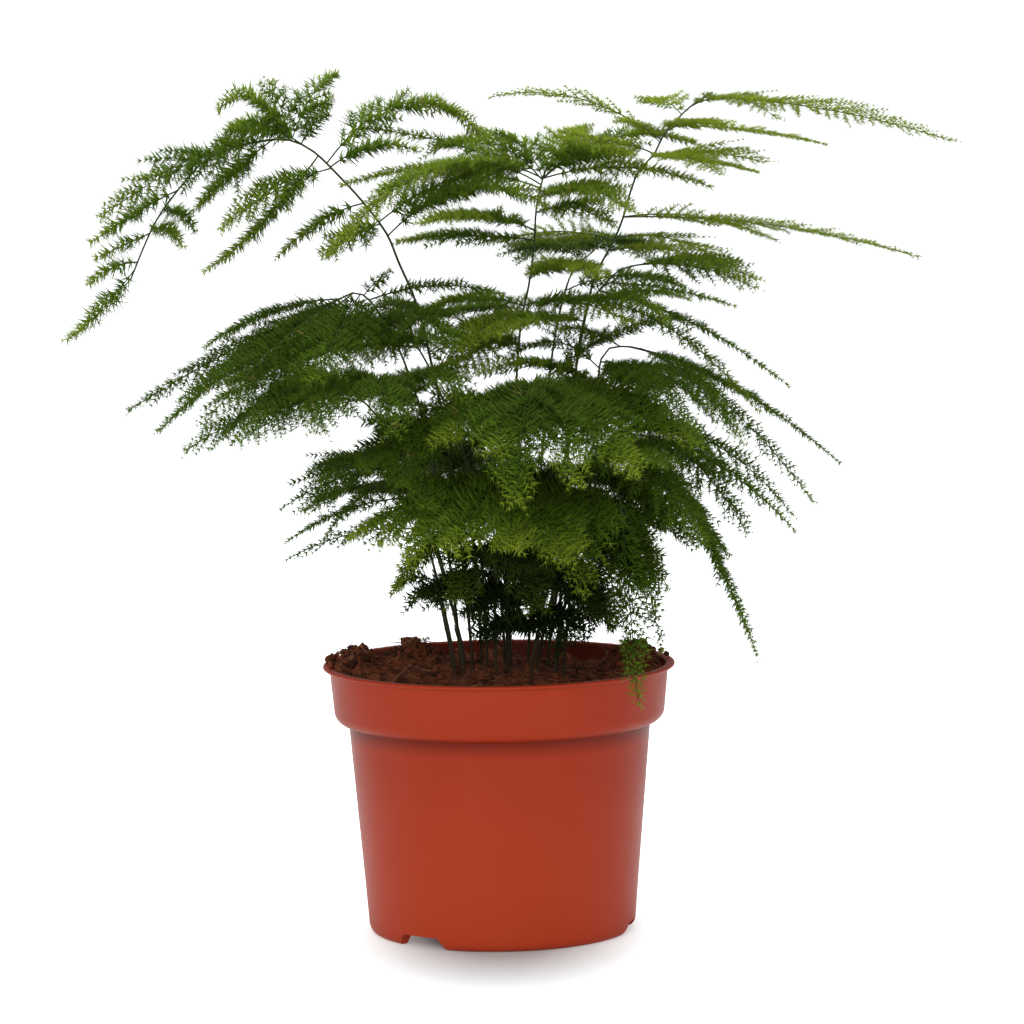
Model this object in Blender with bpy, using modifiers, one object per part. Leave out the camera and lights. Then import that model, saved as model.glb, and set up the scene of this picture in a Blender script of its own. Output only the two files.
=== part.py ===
"""Potted asparagus fern: a nursery pot, its soil, and wiry leafy stems with flat, feathery plumes.

Metres, +Z up, origin at the middle of the pot's foot. The view that shows the plant best looks along +Y.
Tables hold millimetres, which MM turns into metres.
"""

import math
import random

import bmesh
import bpy
from mathutils import Matrix, Vector

MM = 0.001
PLANT_NAME = "potted_asparagus_fern"

# Pot: the outer line's radii and heights.
LIP_RADIUS = 60.0
LIP_THICK = 1.3
RIM_HEIGHT = 92.0
COLLAR_TOP_RADIUS = 57.7
COLLAR_LOW_RADIUS = 56.4
COLLAR_LOW = 76.5
BODY_TOP_RADIUS = 51.4
BODY_TOP = 71.2
BODY_LOW_RADIUS = 45.6
BODY_LOW = 4.0
FOOT_RADIUS = 43.2
FOOT_INNER_RADIUS = 41.2
FLOOR_UNDER = 3.6
WALL = 1.0
FLOOR_THICK = 1.4
POT_SIDES = 36

# Drainage: three notches through the foot and a ring of holes in the floor.
NOTCH_ANGLES = (232.0, 350.0, 111.0)
NOTCH_TOP_WIDTH = 15.0
NOTCH_LOW_WIDTH = 20.0
NOTCH_HEIGHT = 3.2
NOTCH_DEPTH = 12.0
DRAIN_COUNT = 6
DRAIN_RADIUS = 3.5
DRAIN_RING_RADIUS = 27.0
DRAIN_SIDES = 10

# Soil: its level, the heaps on it (x, y, height, spread), and the gap to the pot.
SOIL_LEVEL = 86.0
SOIL_EDGE_LEVEL = 88.5
SOIL_HEAPS = (
    (-49, 9, 7.5, 6.0),
    (-30, 25, 8.5, 7.0),
    (-34, -10, 3.0, 12.0),
    (46, 16, 10.0, 6.5),
    (2, 2, 3.5, 18.0),
    (10, -40, 3.0, 16.0),
    (24, 34, -3.0, 12.0),
)
SOIL_LUMP = 0.9
SOIL_SIDES = POT_SIDES
SOIL_RINGS = (48, 39, 30, 21, 11)
GAP = 0.3

# Stems and plumes.
STEM_BURIED = 15.0
COLLAR_ABOVE_SOIL = 3.0
STEM_BASE_RADIUS = 0.85
STEM_TIP_RADIUS = 0.6
HOLE_RADIUS = 1.35
HOLE_SIDES = 6
STEM_STEP = 20.0
LINE_STEP = 2.0
CORE_BASE_RADIUS = 0.5
CORE_TIP_RADIUS = 0.4
BRANCHLET_PITCH = 17.6
BRANCHLET_SLANT = 50.0
NEEDLE_LENGTH = 4.5
BARE_SHARE = 0.1
WIDEST_SHARE = 0.3
TIP_WIDTH_SHARE = 0.16
PLUME_ROLL = 10.0
LINE_CLEARANCE = 3.4
TOOTH_CLEARANCE = 3.0
TOOTH_SAMPLE = 1.2
FUSED_REACH = 14.0
SWING_STEP = 3.0
SWING_TRIES = 20
SEED = 7

# Each stem: its root (x, y), how far its plumes turn their upper faces to the front in degrees, the
# points that it passes above the soil, and its plumes. A plume is (share of the stem's length where
# it leaves, its tip, half its width, how high its middle bows above a straight line).
STEMS = {
    "stem_upper_left": (
        (-9, 5), 20,
        ((-15, 4, 158), (-21, 3, 192), (-26, 2, 214), (-32, 1, 229), (-36, 0, 239), (-44, -1, 250),
         (-52, -2, 259), (-60, -3, 267), (-68, -4, 271), (-77, -5, 271), (-86, -7, 269), (-96, -8, 265),
         (-103, -10, 258), (-111, -12, 248), (-116, -13, 239), (-122, -14, 225)),
        ((0.435, (-41, -34, 198), 11, 5), (0.572, (18, -22, 249), 13, 11), (0.588, (-55, -30, 233), 8, 2),
         (0.591, (10, 30, 260), 11, 5), (0.619, (-73, 12, 231), 5, 3), (0.674, (-90, -30, 243), 9, 3),
         (0.676, (-26, -18, 268), 6, 4), (0.682, (-2, 24, 270), 10, 16), (0.695, (-98, 16, 226), 5, -3),
         (0.716, (-96, -12, 264), 8, 8), (0.719, (-55, 34, 284), 4, 1), (0.731, (-53, 16, 292), 8, 5),
         (0.732, (-74, 2, 290), 8, 1), (0.733, (-91, -14, 282), 7, 9), (0.743, (-89, 28, 274), 7, 4),
         (0.746, (-131, -32, 248), 11, 5), (0.753, (-100, 20, 248), 9, 1), (0.882, (-136, 8, 237), 5, 1),
         (0.911, (-102, 22, 239), 4, 3), (0.937, (-103, -40, 238), 4, 3), (0.941, (-132, -30, 234), 4, 0),
         (0.977, (-137, 4, 223), 4, 2), (0.999, (-147, 30, 202), 4, -2)),
    ),
    "stem_upper_right": (
        (17, 7), 9,
        ((20, 7, 125), (26, 6, 181), (33, 6, 218), (36, 6, 226), (41, 6, 235), (44, 6, 242), (47, 5, 252),
         (50, 5, 259), (55, 5, 264), (58, 5, 270), (65, 4, 278), (70, 3, 282), (75, 3, 285)),
        ((0.707, (74, -34, 229), 12, 3), (0.724, (4, 34, 234), 14, 3), (0.728, (79, 42, 225), 14, 4),
         (0.762, (142, -20, 230), 10, 4), (0.762, (97, 30, 233), 10, 4), (0.837, (30, 50, 262), 12, 3),
         (0.864, (74, -72, 261), 10, 3), (0.868, (90, -38, 263), 13, 2), (0.868, (92, 56, 255), 9, 1),
         (0.87, (23, -20, 269), 13, 3), (0.889, (41, -44, 277), 5, 3), (0.894, (0, 10, 284), 8, 7),
         (0.911, (75, -70, 277), 9, 2), (0.919, (115, 42, 265), 9, 2), (0.942, (53, 44, 280), 9, 3),
         (0.96, (94, -50, 278), 12, 5), (1, (149, -70, 271), 12, 3)),
    ),
    "stem_middle": (
        (4, 9), 8,
        ((4, 10, 140), (7, 10, 183), (9, 10, 206), (12, 10, 220), (14, 9, 234), (15, 9, 247), (18, 9, 259)),
        ((0.68, (-13, -34, 193), 13, 5), (0.736, (-11, -50, 203), 10, 3), (0.749, (-24, 34, 210), 12, 4),
         (0.751, (44, -40, 211), 12, 4), (0.799, (35, -56, 227), 11, 5), (0.871, (-32, 20, 235), 9, 2),
         (0.889, (-23, -50, 245), 11, 4), (0.921, (40, -30, 242), 9, 4), (0.949, (45, -60, 249), 12, 5),
         (0.967, (-50, -10, 256), 8, 6), (0.973, (-53, -56, 236), 13, 17), (0.982, (-19, 26, 266), 14, 8),
         (0.993, (31, 60, 271), 11, 4), (0.993, (73, -14, 254), 7, 5), (1, (-42, 8, 274), 5, 3),
         (1, (69, 30, 267), 12, 8), (1, (44, -40, 267), 13, 5), (1, (4, 24, 269), 10, 5)),
    ),
    "stem_right_arch": (
        (20, 1), 8,
        ((22, 0, 125), (26, -2, 180), (31, -2, 211), (37, -3, 220), (43, -6, 226), (52, -8, 228)),
        ((0.807, (2, -50, 208), 12, 3), (0.845, (57, -60, 212), 7, 5), (0.845, (68, 56, 211), 6, 4),
         (0.854, (87, -40, 181), 6, 8), (0.878, (100, 18, 184), 5, 5), (0.9, (83, 34, 210), 5, 2),
         (1, (87, -30, 221), 11, 3), (1, (89, -62, 226), 12, 4)),
    ),
    "stem_right_mid": (
        (22, -5), 10,
        ((26, -6, 125), (34, -8, 165), (36, -9, 196), (46, -9, 200), (55, -9, 197)),
        ((0.763, (7, 30, 182), 13, 5), (0.796, (-5, -50, 195), 13, 6), (0.815, (68, 52, 183), 7, 5),
         (0.832, (9, 8, 197), 11, 7), (0.847, (66, -96, 176), 11, 7), (0.91, (22, -30, 208), 10, 3),
         (0.931, (116, -10, 160), 5, 6), (0.957, (81, -78, 173), 8, 5), (0.97, (99, 40, 171), 6, 3),
         (0.995, (105, -48, 151), 7, 6)),
    ),
    "stem_right_low": (
        (19, -11), 10,
        ((23, -13, 115), (32, -18, 146), (36, -22, 168), (46, -25, 172), (53, -26, 170)),
        ((0.761, (53, -90, 168), 15, 6), (0.789, (67, 44, 152), 9, 9), (0.837, (67, -72, 141), 12, 7),
         (0.861, (66, -34, 169), 11, 6), (0.895, (99, -62, 149), 10, 12), (0.933, (103, 32, 132), 7, 7),
         (0.956, (85, 4, 135), 10, 8), (1, (87, -25, 97), 11, 6)),
    ),
    "stem_front_right": (
        (11, -15), 6,
        ((15, -19, 112), (22, -29, 135), (35, -38, 154), (42, -45, 153)),
        ((0.795, (17, -72, 140), 13, 13), (0.816, (58, 12, 115), 7, 11), (0.841, (38, 16, 103), 13, 10),
         (0.88, (27, -84, 127), 12, 10), (0.936, (55, -18, 98), 5, 12), (1, (46, -60, 86), 8, 3)),
    ),
    "stem_front_high": (
        (3, -5), 4,
        ((3, -8, 125), (5, -16, 162), (10, -30, 182), (14, -44, 187)),
        ((0.811, (-21, -46, 179), 14, 7), (0.841, (51, -50, 180), 14, 6), (0.874, (64, -66, 174), 15, 10),
         (0.886, (-16, -78, 176), 15, 7), (0.919, (0, -106, 175), 15, 8), (0.945, (44, -104, 167), 14, 10),
         (0.971, (25, -114, 166), 14, 12), (0.994, (7, -118, 160), 15, 16)),
    ),
    "stem_front_low": (
        (-1, -14), 8,
        ((-1, -18, 112), (0, -30, 140), (3, -44, 154)),
        ((0.621, (-12, -48, 121), 11, 10), (0.666, (13, -58, 119), 12, 10), (0.713, (-34, -34, 123), 8, 9),
         (0.788, (-38, -62, 141), 11, 10), (0.819, (-49, -30, 139), 9, 9), (0.838, (35, -74, 142), 14, 10),
         (0.918, (-29, -84, 138), 12, 8), (0.943, (22, -100, 139), 14, 9),
         (0.973, (-14, -100, 143), 13, 6), (1, (6, -110, 144), 14, 4)),
    ),
    "stem_left_high": (
        (-13, -1), 16,
        ((-16, -3, 125), (-23, -5, 170), (-33, -7, 202), (-44, -11, 219), (-54, -14, 217)),
        ((0.828, (-67, 36, 195), 14, 3), (0.852, (-14, -70, 205), 14, 7), (0.872, (-8, 32, 211), 7, 3),
         (0.89, (-81, 54, 184), 13, 3), (0.914, (2, -28, 220), 6, 4), (0.929, (-35, 4, 226), 3, 1),
         (0.937, (-57, -94, 198), 16, 2), (0.953, (-87, -40, 189), 14, 1), (0.967, (-94, -86, 183), 13, 5),
         (0.975, (-116, 34, 170), 11, 4), (0.984, (-103, -62, 189), 10, 1), (0.992, (-98, 8, 201), 8, 4),
         (0.997, (-122, -30, 183), 9, 2)),
    ),
    "stem_left_mid": (
        (-12, -8), 26,
        ((-16, -10, 115), (-26, -18, 154), (-40, -27, 180), (-51, -35, 190)),
        ((0.794, (-25, -66, 170), 12, 7), (0.832, (-11, -84, 190), 14, 13),
         (0.869, (-80, 28, 179), 12, 11), (0.897, (-33, -108, 182), 15, 13),
         (0.925, (-84, -66, 188), 14, 9), (0.943, (-92, 2, 172), 12, 8), (0.969, (-57, -110, 182), 15, 9),
         (0.991, (-102, -48, 171), 10, 4), (1, (-82, -94, 178), 11, 3)),
    ),
    "stem_left_low": (
        (-15, -6), 14,
        ((-18, -8, 110), (-25, -12, 140), (-32, -16, 156), (-38, -20, 164)),
        ((0.695, (-71, -14, 130), 6, 4), (0.764, (-6, -86, 155), 13, 10), (0.819, (-72, 12, 133), 6, 4),
         (0.88, (-30, -92, 163), 14, 11), (0.914, (-60, 36, 131), 5, 4), (0.937, (-42, -74, 166), 8, 6),
         (0.958, (-72, -30, 149), 5, 3), (0.978, (-55, 24, 147), 4, 2), (0.991, (-58, -52, 160), 5, 3)),
    ),
    "stem_left_sprout": (
        (-16, 2), 6,
        ((-18, 2, 104), (-20, 2, 114), (-22, 1, 121)),
        ((0.80, (-24, -24, 117), 5, 3), (0.90, (-31, 12, 109), 4, 3), (1.0, (-36, -8, 117), 4, 3)),
    ),
    "stem_inner_right": (
        (13, -3), 4,
        ((15, -5, 115), (19, -8, 140), (24, -10, 158)),
        ((0.36, (-2, -24, 104), 11, 4), (0.40, (26, -32, 104), 11, 4), (0.46, (-8, -40, 114), 14, 5),
         (0.54, (38, -16, 106), 7, 4), (0.60, (34, -42, 113), 12, 6),
         (0.66, (4, -58, 132), 14, 6), (0.74, (52, -46, 124), 14, 7), (0.84, (48, 18, 132), 14, 6),
         (0.92, (16, -66, 150), 15, 6), (1.0, (58, -20, 142), 13, 6)),
    ),
    "stem_inner_left": (
        (-4, 3), 4,
        ((-5, 2, 120), (-8, 0, 150), (-12, -3, 170)),
        ((0.44, (-22, -24, 116), 10, 4), (0.52, (14, 32, 114), 12, 5),
         (0.72, (22, -52, 158), 15, 6), (0.84, (-32, 38, 160), 14, 6), (0.92, (20, 40, 172), 14, 6),
         (1.0, (-36, -26, 166), 14, 6)),
    ),
    "stem_back_left_high": (
        (-6, 12), 4,
        ((-8, 14, 130), (-16, 21, 174), (-28, 31, 200), (-40, 41, 208)),
        ((0.66, (-64, 42, 182), 14, 6), (0.78, (0, 92, 200), 16, 6), (0.86, (-90, 48, 186), 13, 5),
         (0.94, (-52, 112, 184), 17, 7), (1.0, (-86, 84, 182), 15, 6)),
    ),
    "stem_back_right_high": (
        (10, 14), 4,
        ((13, 16, 130), (19, 24, 190), (26, 36, 220), (35, 50, 229)),
        ((0.68, (64, 40, 206), 12, 5), (0.78, (-22, 84, 204), 16, 6), (0.86, (66, 78, 214), 13, 5),
         (0.94, (12, 118, 222), 17, 7), (1.0, (52, 116, 222), 16, 6)),
    ),
    "stem_back_right_mid": (
        (17, 12), 4,
        ((21, 14, 118), (32, 22, 160), (45, 33, 184), (56, 43, 189)),
        ((0.66, (22, 80, 172), 13, 7), (0.78, (76, 24, 158), 8, 6), (0.86, (54, 104, 172), 13, 8),
         (0.92, (84, 48, 168), 8, 6), (1.0, (84, 84, 162), 10, 7)),
    ),
    "stem_back_right_low": (
        (14, 17), 4,
        ((18, 21, 110), (29, 32, 138), (40, 43, 152), (48, 51, 153)),
        ((0.66, (72, 22, 128), 12, 7), (0.80, (22, 92, 140), 15, 8), (0.90, (80, 58, 122), 13, 8),
         (1.0, (68, 98, 124), 15, 8)),
    ),
    "stem_back_low": (
        (2, 19), 0,
        ((1, 23, 110), (-2, 35, 140), (-5, 48, 155)),
        ((0.48, (-14, 50, 110), 14, 5), (0.54, (22, 52, 110), 14, 5), (0.66, (36, 66, 146), 14, 7),
         (0.78, (-46, 62, 144), 14, 7), (0.90, (-36, 98, 142), 16, 8),
         (1.0, (2, 118, 136), 17, 9)),
    ),
    "stem_back_left_low": (
        (-12, 11), 4,
        ((-16, 14, 110), (-25, 22, 140), (-35, 29, 155), (-42, 34, 158)),
        ((0.66, (-16, 74, 152), 14, 7), (0.78, (-66, 20, 142), 11, 6), (0.88, (-60, 92, 146), 16, 8),
         (1.0, (-64, 64, 138), 14, 7)),
    ),
}

POT_COLOUR = (0.42, 0.085, 0.035)
SOIL_COLOUR = (0.045, 0.016, 0.009)
LEAF_COLOUR = (0.060, 0.130, 0.020)


# Growth: where the stems and plumes run.


class Space:
    """Points already taken, kept in cubes so that a near one is found quickly."""

    def __init__(self, cube):
        self.cube = cube
        self.cells = {}

    def key(self, point):
        return tuple(math.floor(c / self.cube) for c in point)

    def fill(self, points, owner):
        for point in points:
            self.cells.setdefault(self.key(point), []).append((point, owner))

    def is_clear(self, points, gap, own):
        """True if no point of an owner for which own(owner) is false lies nearer than gap."""
        for point in points:
            i, j, k = self.key(point)
            for cell in ((i + a, j + b, k + c) for a in (-1, 0, 1) for b in (-1, 0, 1) for c in (-1, 0, 1)):
                for other, owner in self.cells.get(cell, ()):
                    if not own(owner) and (point - other).length_squared < gap * gap:
                        return False
        return True


def soil_height(x, y):
    """Height of the soil in millimetres at a place given in millimetres."""
    height = SOIL_LEVEL + (SOIL_EDGE_LEVEL - SOIL_LEVEL) * (math.hypot(x, y) / LIP_RADIUS) ** 4
    for heap_x, heap_y, tall, spread in SOIL_HEAPS:
        height += tall * math.exp(-((x - heap_x) ** 2 + (y - heap_y) ** 2) / (2 * spread**2))
    return height + SOIL_LUMP * (math.sin(x / 3.1 + 1) * math.cos(y / 2.7) + math.sin((x - y) / 5.3))


def curve_through(points, step):
    """Points about a step apart on a smooth curve through the given ones, from the second one on."""
    points = [*points, 2 * points[-1] - points[-2]]
    line = [points[1]]
    for before, start, end, after in zip(points, points[1:], points[2:], points[3:]):
        count = max(1, round((end - start).length / step))
        for n in range(1, count + 1):
            t = n / count
            line.append(
                0.5
                * (
                    2 * start
                    + (end - before) * t
                    + (2 * before - 5 * start + 4 * end - after) * t**2
                    + (3 * start - before - 3 * end + after) * t**3
                )
            )
    return line


def point_at(line, share):
    """The point at a share of a line's length."""
    lengths = [(b - a).length for a, b in zip(line, line[1:])]
    left = share * sum(lengths)
    for a, b, length in zip(line, line[1:], lengths):
        if left <= length:
            return a.lerp(b, left / length)
        left -= length
    return line[-1]


def stem_line(name, step):
    """The stem from its buried end to the last point of its route."""
    (x, y), _, route, _ = STEMS[name]
    soil = soil_height(x, y)
    buried = Vector((x, y, soil - STEM_BURIED)) * MM
    collar = Vector((x, y, soil + COLLAR_ABOVE_SOIL)) * MM
    above = [Vector(point) * MM for point in route]
    return [buried, *curve_through([buried, collar, *above], step * MM)]


def arched_line(start, tip, bow):
    """A plume's rib, bowed up in the middle and over under its own weight."""
    bend = start.lerp(tip, 0.5) + Vector((0, 0, 2 * bow))
    count = max(4, round((tip - start).length / (LINE_STEP * MM)))
    shares = [n / count for n in range(count + 1)]
    return [start * (1 - t) ** 2 + bend * 2 * t * (1 - t) + tip * t**2 for t in shares]


def swings():
    """Angles to try for a plume, from none to the widest, to one side and the other."""
    return [0.0] + [side * SWING_STEP * n for n in range(1, SWING_TRIES) for side in (1, -1)]


def grow():
    """Every stem's line, and its plumes as (rib line, half width, roll). A plume that would run
    into another rib or stem is swung round its stem, a few degrees at a time, until it is clear."""
    draw = random.Random(SEED)
    space = Space(4 * MM)
    stems = {name: (stem_line(name, LINE_STEP), []) for name in STEMS}
    for name, (line, _) in stems.items():
        space.fill(line, (name, None))
    for name, (line, plumes) in stems.items():
        coarse = stem_line(name, STEM_STEP)
        for number, (share, tip, half_width, bow) in enumerate(STEMS[name][3]):
            start = point_at(coarse, min(share, 0.985))
            reach = Vector(tip) * MM - start
            roll = STEMS[name][1] * reach.x / reach.length + draw.uniform(-PLUME_ROLL, PLUME_ROLL)
            for angle in swings():
                turned = Matrix.Rotation(math.radians(angle), 3, "Z") @ reach
                rib = arched_line(start, start + turned, bow * MM)
                near = [p for p in rib if 5 * MM < (p - start).length < FUSED_REACH * MM]
                far = [p for p in rib if (p - start).length >= FUSED_REACH * MM]
                if space.is_clear(near, LINE_CLEARANCE * MM, lambda owner: owner[0] == name) and (
                    space.is_clear(far, LINE_CLEARANCE * MM, lambda owner: owner == (name, None))
                ):
                    break
            space.fill(near + far, (name, number))
            plumes.append((rib, half_width * MM, math.radians(roll)))
    return stems


def width_share(share):
    """How wide a plume is at a share of its length, as a part of its widest."""
    if share < WIDEST_SHARE:
        return max(0.0, (share - BARE_SHARE * 0.6) / (WIDEST_SHARE - BARE_SHARE * 0.6)) ** 0.7
    fall = (share - WIDEST_SHARE) / (1 - WIDEST_SHARE)
    return 1 - (1 - TIP_WIDTH_SHARE) * fall**1.15


def plume_axes(rib, share, roll):
    """Along, sideways and upwards on a plume, at a share of its rib."""
    heading = rib[-1] - rib[0]
    sideways = Vector((-heading.y, heading.x, 0)).normalized()
    along = (point_at(rib, min(1, share + 0.03)) - point_at(rib, max(0, share - 0.03))).normalized()
    upwards = along.cross(sideways).normalized()
    sideways = upwards.cross(along)
    turn = Matrix.Rotation(roll, 3, along)
    return along, turn @ sideways, turn @ upwards


# Pot and soil.


def material(name, colour, roughness):
    """A plain Principled material."""
    made = bpy.data.materials.new(name)
    made.use_nodes = True
    shader = made.node_tree.nodes["Principled BSDF"]
    shader.inputs["Base Color"].default_value = (*colour, 1)
    shader.inputs["Roughness"].default_value = roughness
    made.diffuse_color = (*colour, 1)
    return made


def new_object(name, mesh, collection, finish=None):
    made = bpy.data.objects.new(name, mesh)
    collection.objects.link(made)
    if finish:
        made.data.materials.append(finish)
    return made


def from_bmesh(name, bm, collection, finish=None):
    mesh = bpy.data.meshes.new(name)
    bm.to_mesh(mesh)
    bm.free()
    return new_object(name, mesh, collection, finish)


def apply_modifiers(obj):
    """Puts the evaluated mesh in place of the object's own and drops its modifiers."""
    graph = bpy.context.evaluated_depsgraph_get()
    evaluated = bpy.data.meshes.new_from_object(obj.evaluated_get(graph))
    old = obj.data
    obj.modifiers.clear()
    obj.data = evaluated
    bpy.data.meshes.remove(old)


def turned(name, profile, sides, collection, finish):
    """A profile in millimetres, radius and height, turned round the Z axis. Its ends lie on the axis."""
    bm = bmesh.new()
    points = [bm.verts.new((radius * MM, 0, height * MM)) for radius, height in profile]
    for a, b in zip(points, points[1:]):
        bm.edges.new((a, b))
    made = from_bmesh(name, bm, collection, finish)
    screw = made.modifiers.new("turn", "SCREW")
    screw.axis = "Z"
    screw.steps = sides
    screw.render_steps = sides
    screw.use_merge_vertices = True
    screw.merge_threshold = 0.00005
    screw.use_smooth_shade = True
    return made


def inner_radius(height):
    """The pot's inner radius at a height, both in millimetres."""
    if height > COLLAR_LOW:
        share = (height - COLLAR_LOW) / (RIM_HEIGHT - COLLAR_LOW)
        return COLLAR_LOW_RADIUS + share * (COLLAR_TOP_RADIUS - COLLAR_LOW_RADIUS) - WALL
    if height > BODY_TOP:
        share = (height - BODY_TOP) / (COLLAR_LOW - BODY_TOP)
        return BODY_TOP_RADIUS + share * (COLLAR_LOW_RADIUS - BODY_TOP_RADIUS) - WALL
    share = (height - BODY_LOW) / (BODY_TOP - BODY_LOW)
    return BODY_LOW_RADIUS + share * (BODY_TOP_RADIUS - BODY_LOW_RADIUS) - WALL


def pot_profile():
    """The pot's section: up the inside, over the lip and down the outside to the raised floor."""
    floor = FLOOR_UNDER + FLOOR_THICK
    inside = [(0, floor), (inner_radius(floor) - 1, floor), (inner_radius(floor + 1.5), floor + 1.5)]
    inside += [(inner_radius(h), h) for h in (BODY_TOP, COLLAR_LOW, RIM_HEIGHT - LIP_THICK)]
    lip = [
        (COLLAR_TOP_RADIUS - WALL, RIM_HEIGHT - 0.4),
        (COLLAR_TOP_RADIUS - 0.4, RIM_HEIGHT),
        (LIP_RADIUS - 0.5, RIM_HEIGHT),
        (LIP_RADIUS, RIM_HEIGHT - 0.5),
        (LIP_RADIUS - 0.2, RIM_HEIGHT - LIP_THICK),
        (COLLAR_TOP_RADIUS, RIM_HEIGHT - LIP_THICK - 0.4),
    ]
    shoulder_drop = COLLAR_LOW - BODY_TOP
    shoulder_in = COLLAR_LOW_RADIUS - BODY_TOP_RADIUS
    shoulder = []
    for degrees in (0, 30, 60, 90):
        angle = math.radians(degrees)
        radius = BODY_TOP_RADIUS + 0.4 + (shoulder_in - 0.4) * math.cos(angle)
        shoulder.append((radius, COLLAR_LOW - 0.85 * shoulder_drop * math.sin(angle)))
    foot = [
        (BODY_TOP_RADIUS, BODY_TOP),
        (BODY_LOW_RADIUS, BODY_LOW),
        (BODY_LOW_RADIUS - 0.7, 1.3),
        (FOOT_RADIUS, 0),
        (FOOT_INNER_RADIUS, 0),
        (FOOT_INNER_RADIUS - 0.4, FLOOR_UNDER),
        (0, FLOOR_UNDER),
    ]
    return inside + lip + shoulder + foot


def notch_cutter(angle, collection):
    """A wedge that is wider at the foot, laid through the foot at an angle round the pot."""
    bm = bmesh.new()
    size = Vector((NOTCH_DEPTH, NOTCH_LOW_WIDTH, 2 * NOTCH_HEIGHT)) * MM
    bmesh.ops.create_cube(bm, size=1, matrix=Matrix.Diagonal((*size, 1)))
    for vert in bm.verts:
        if vert.co.z > 0:
            vert.co.y *= NOTCH_TOP_WIDTH / NOTCH_LOW_WIDTH
        else:
            vert.co.y *= 2 - NOTCH_TOP_WIDTH / NOTCH_LOW_WIDTH
    place = Matrix.Rotation(math.radians(angle), 4, "Z") @ Matrix.Translation((BODY_LOW_RADIUS * MM, 0, 0))
    bmesh.ops.transform(bm, matrix=place, verts=bm.verts)
    return from_bmesh(f"notch_cutter_{angle:.0f}", bm, collection)


def peg(name, place, radius, length, sides, collection):
    """An upright cylinder with its middle at a place, all in millimetres."""
    bm = bmesh.new()
    bmesh.ops.create_cone(
        bm, segments=sides, cap_ends=True, radius1=radius * MM, radius2=radius * MM, depth=length * MM,
        matrix=Matrix.Translation(Vector(place) * MM),
    )
    return from_bmesh(name, bm, collection)


def cut_with(obj, cutters):
    """Cuts a collection of cutters from an object and removes them."""
    cut = obj.modifiers.new("cut", "BOOLEAN")
    cut.operation = "DIFFERENCE"
    cut.operand_type = "COLLECTION"
    cut.collection = cutters
    cut.solver = "EXACT"
    apply_modifiers(obj)
    remove_collection(cutters)


def remove_collection(collection):
    for obj in list(collection.objects):
        bpy.data.objects.remove(obj)
    bpy.data.collections.remove(collection)


def scratch_collection(name):
    made = bpy.data.collections.new(name)
    bpy.context.scene.collection.children.link(made)
    return made


def make_pot(collection):
    pot = turned("pot", pot_profile(), POT_SIDES, collection, material("pot_plastic", POT_COLOUR, 0.45))
    cutters = scratch_collection("pot_cutters")
    for angle in NOTCH_ANGLES:
        notch_cutter(angle, cutters)
    for n in range(DRAIN_COUNT):
        angle = math.radians(20 + 360 * n / DRAIN_COUNT)
        place = (DRAIN_RING_RADIUS * math.cos(angle), DRAIN_RING_RADIUS * math.sin(angle), FLOOR_UNDER)
        peg(f"drain_cutter_{n}", place, DRAIN_RADIUS, 6, DRAIN_SIDES, cutters)
    cut_with(pot, cutters)
    pot.data.set_sharp_from_angle(angle=math.radians(35))
    return pot


def make_soil(collection):
    """One body that fills the pot to its wall, with a lumpy top and a plain hole for each stem."""
    floor = FLOOR_UNDER + FLOOR_THICK + GAP
    edge = SOIL_EDGE_LEVEL
    top = [(0, edge), *((ring, edge) for ring in reversed(SOIL_RINGS)), (inner_radius(edge) - GAP, edge)]
    side = [(inner_radius(h) - GAP - 0.15, h) for h in (COLLAR_LOW + 0.2, BODY_TOP - 0.4, floor + 1.6)]
    bottom = [(inner_radius(floor) - 1.2 - GAP, floor), (0, floor)]
    soil = turned("soil", top + side + bottom, SOIL_SIDES, collection, material("peat", SOIL_COLOUR, 0.95))
    apply_modifiers(soil)
    for vert in soil.data.vertices:
        if vert.co.z > (edge - 1) * MM:
            vert.co.z = soil_height(vert.co.x / MM, vert.co.y / MM) * MM
    cutters = scratch_collection("soil_cutters")
    for name, ((x, y), *_) in STEMS.items():
        depth = STEM_BURIED + GAP
        place = (x, y, soil_height(x, y) - depth + 20)
        peg(f"hole_{name}", place, HOLE_RADIUS, 40, HOLE_SIDES, cutters)
    cut_with(soil, cutters)
    return soil


# Stems and plumes as solids.


def make_stem(name, line, collection):
    """A stem as a tapering tube, made a mesh so that its plumes can be joined to it."""
    curve = bpy.data.curves.new(name, "CURVE")
    curve.dimensions = "3D"
    curve.bevel_depth = STEM_BASE_RADIUS * MM
    curve.bevel_resolution = 0
    curve.use_fill_caps = True
    spline = curve.splines.new("POLY")
    spline.points.add(len(line) - 1)
    for n, point in enumerate(line):
        share = n / (len(line) - 1)
        spline.points[n].co = (*point, 1)
        spline.points[n].radius = 1 + share * (STEM_TIP_RADIUS / STEM_BASE_RADIUS - 1)
    tube = bpy.data.objects.new(name + "_curve", curve)
    collection.objects.link(tube)
    bpy.context.view_layer.update()
    mesh = bpy.data.meshes.new_from_object(tube.evaluated_get(bpy.context.evaluated_depsgraph_get()))
    bm = bmesh.new()
    bm.from_mesh(mesh)
    bmesh.ops.remove_doubles(bm, verts=bm.verts, dist=0.02 * MM)
    bmesh.ops.recalc_face_normals(bm, faces=bm.faces)
    bm.to_mesh(mesh)
    bm.free()
    stem = new_object(name, mesh, collection)
    stem.matrix_world = tube.matrix_world
    bpy.data.objects.remove(tube)
    return stem


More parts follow.
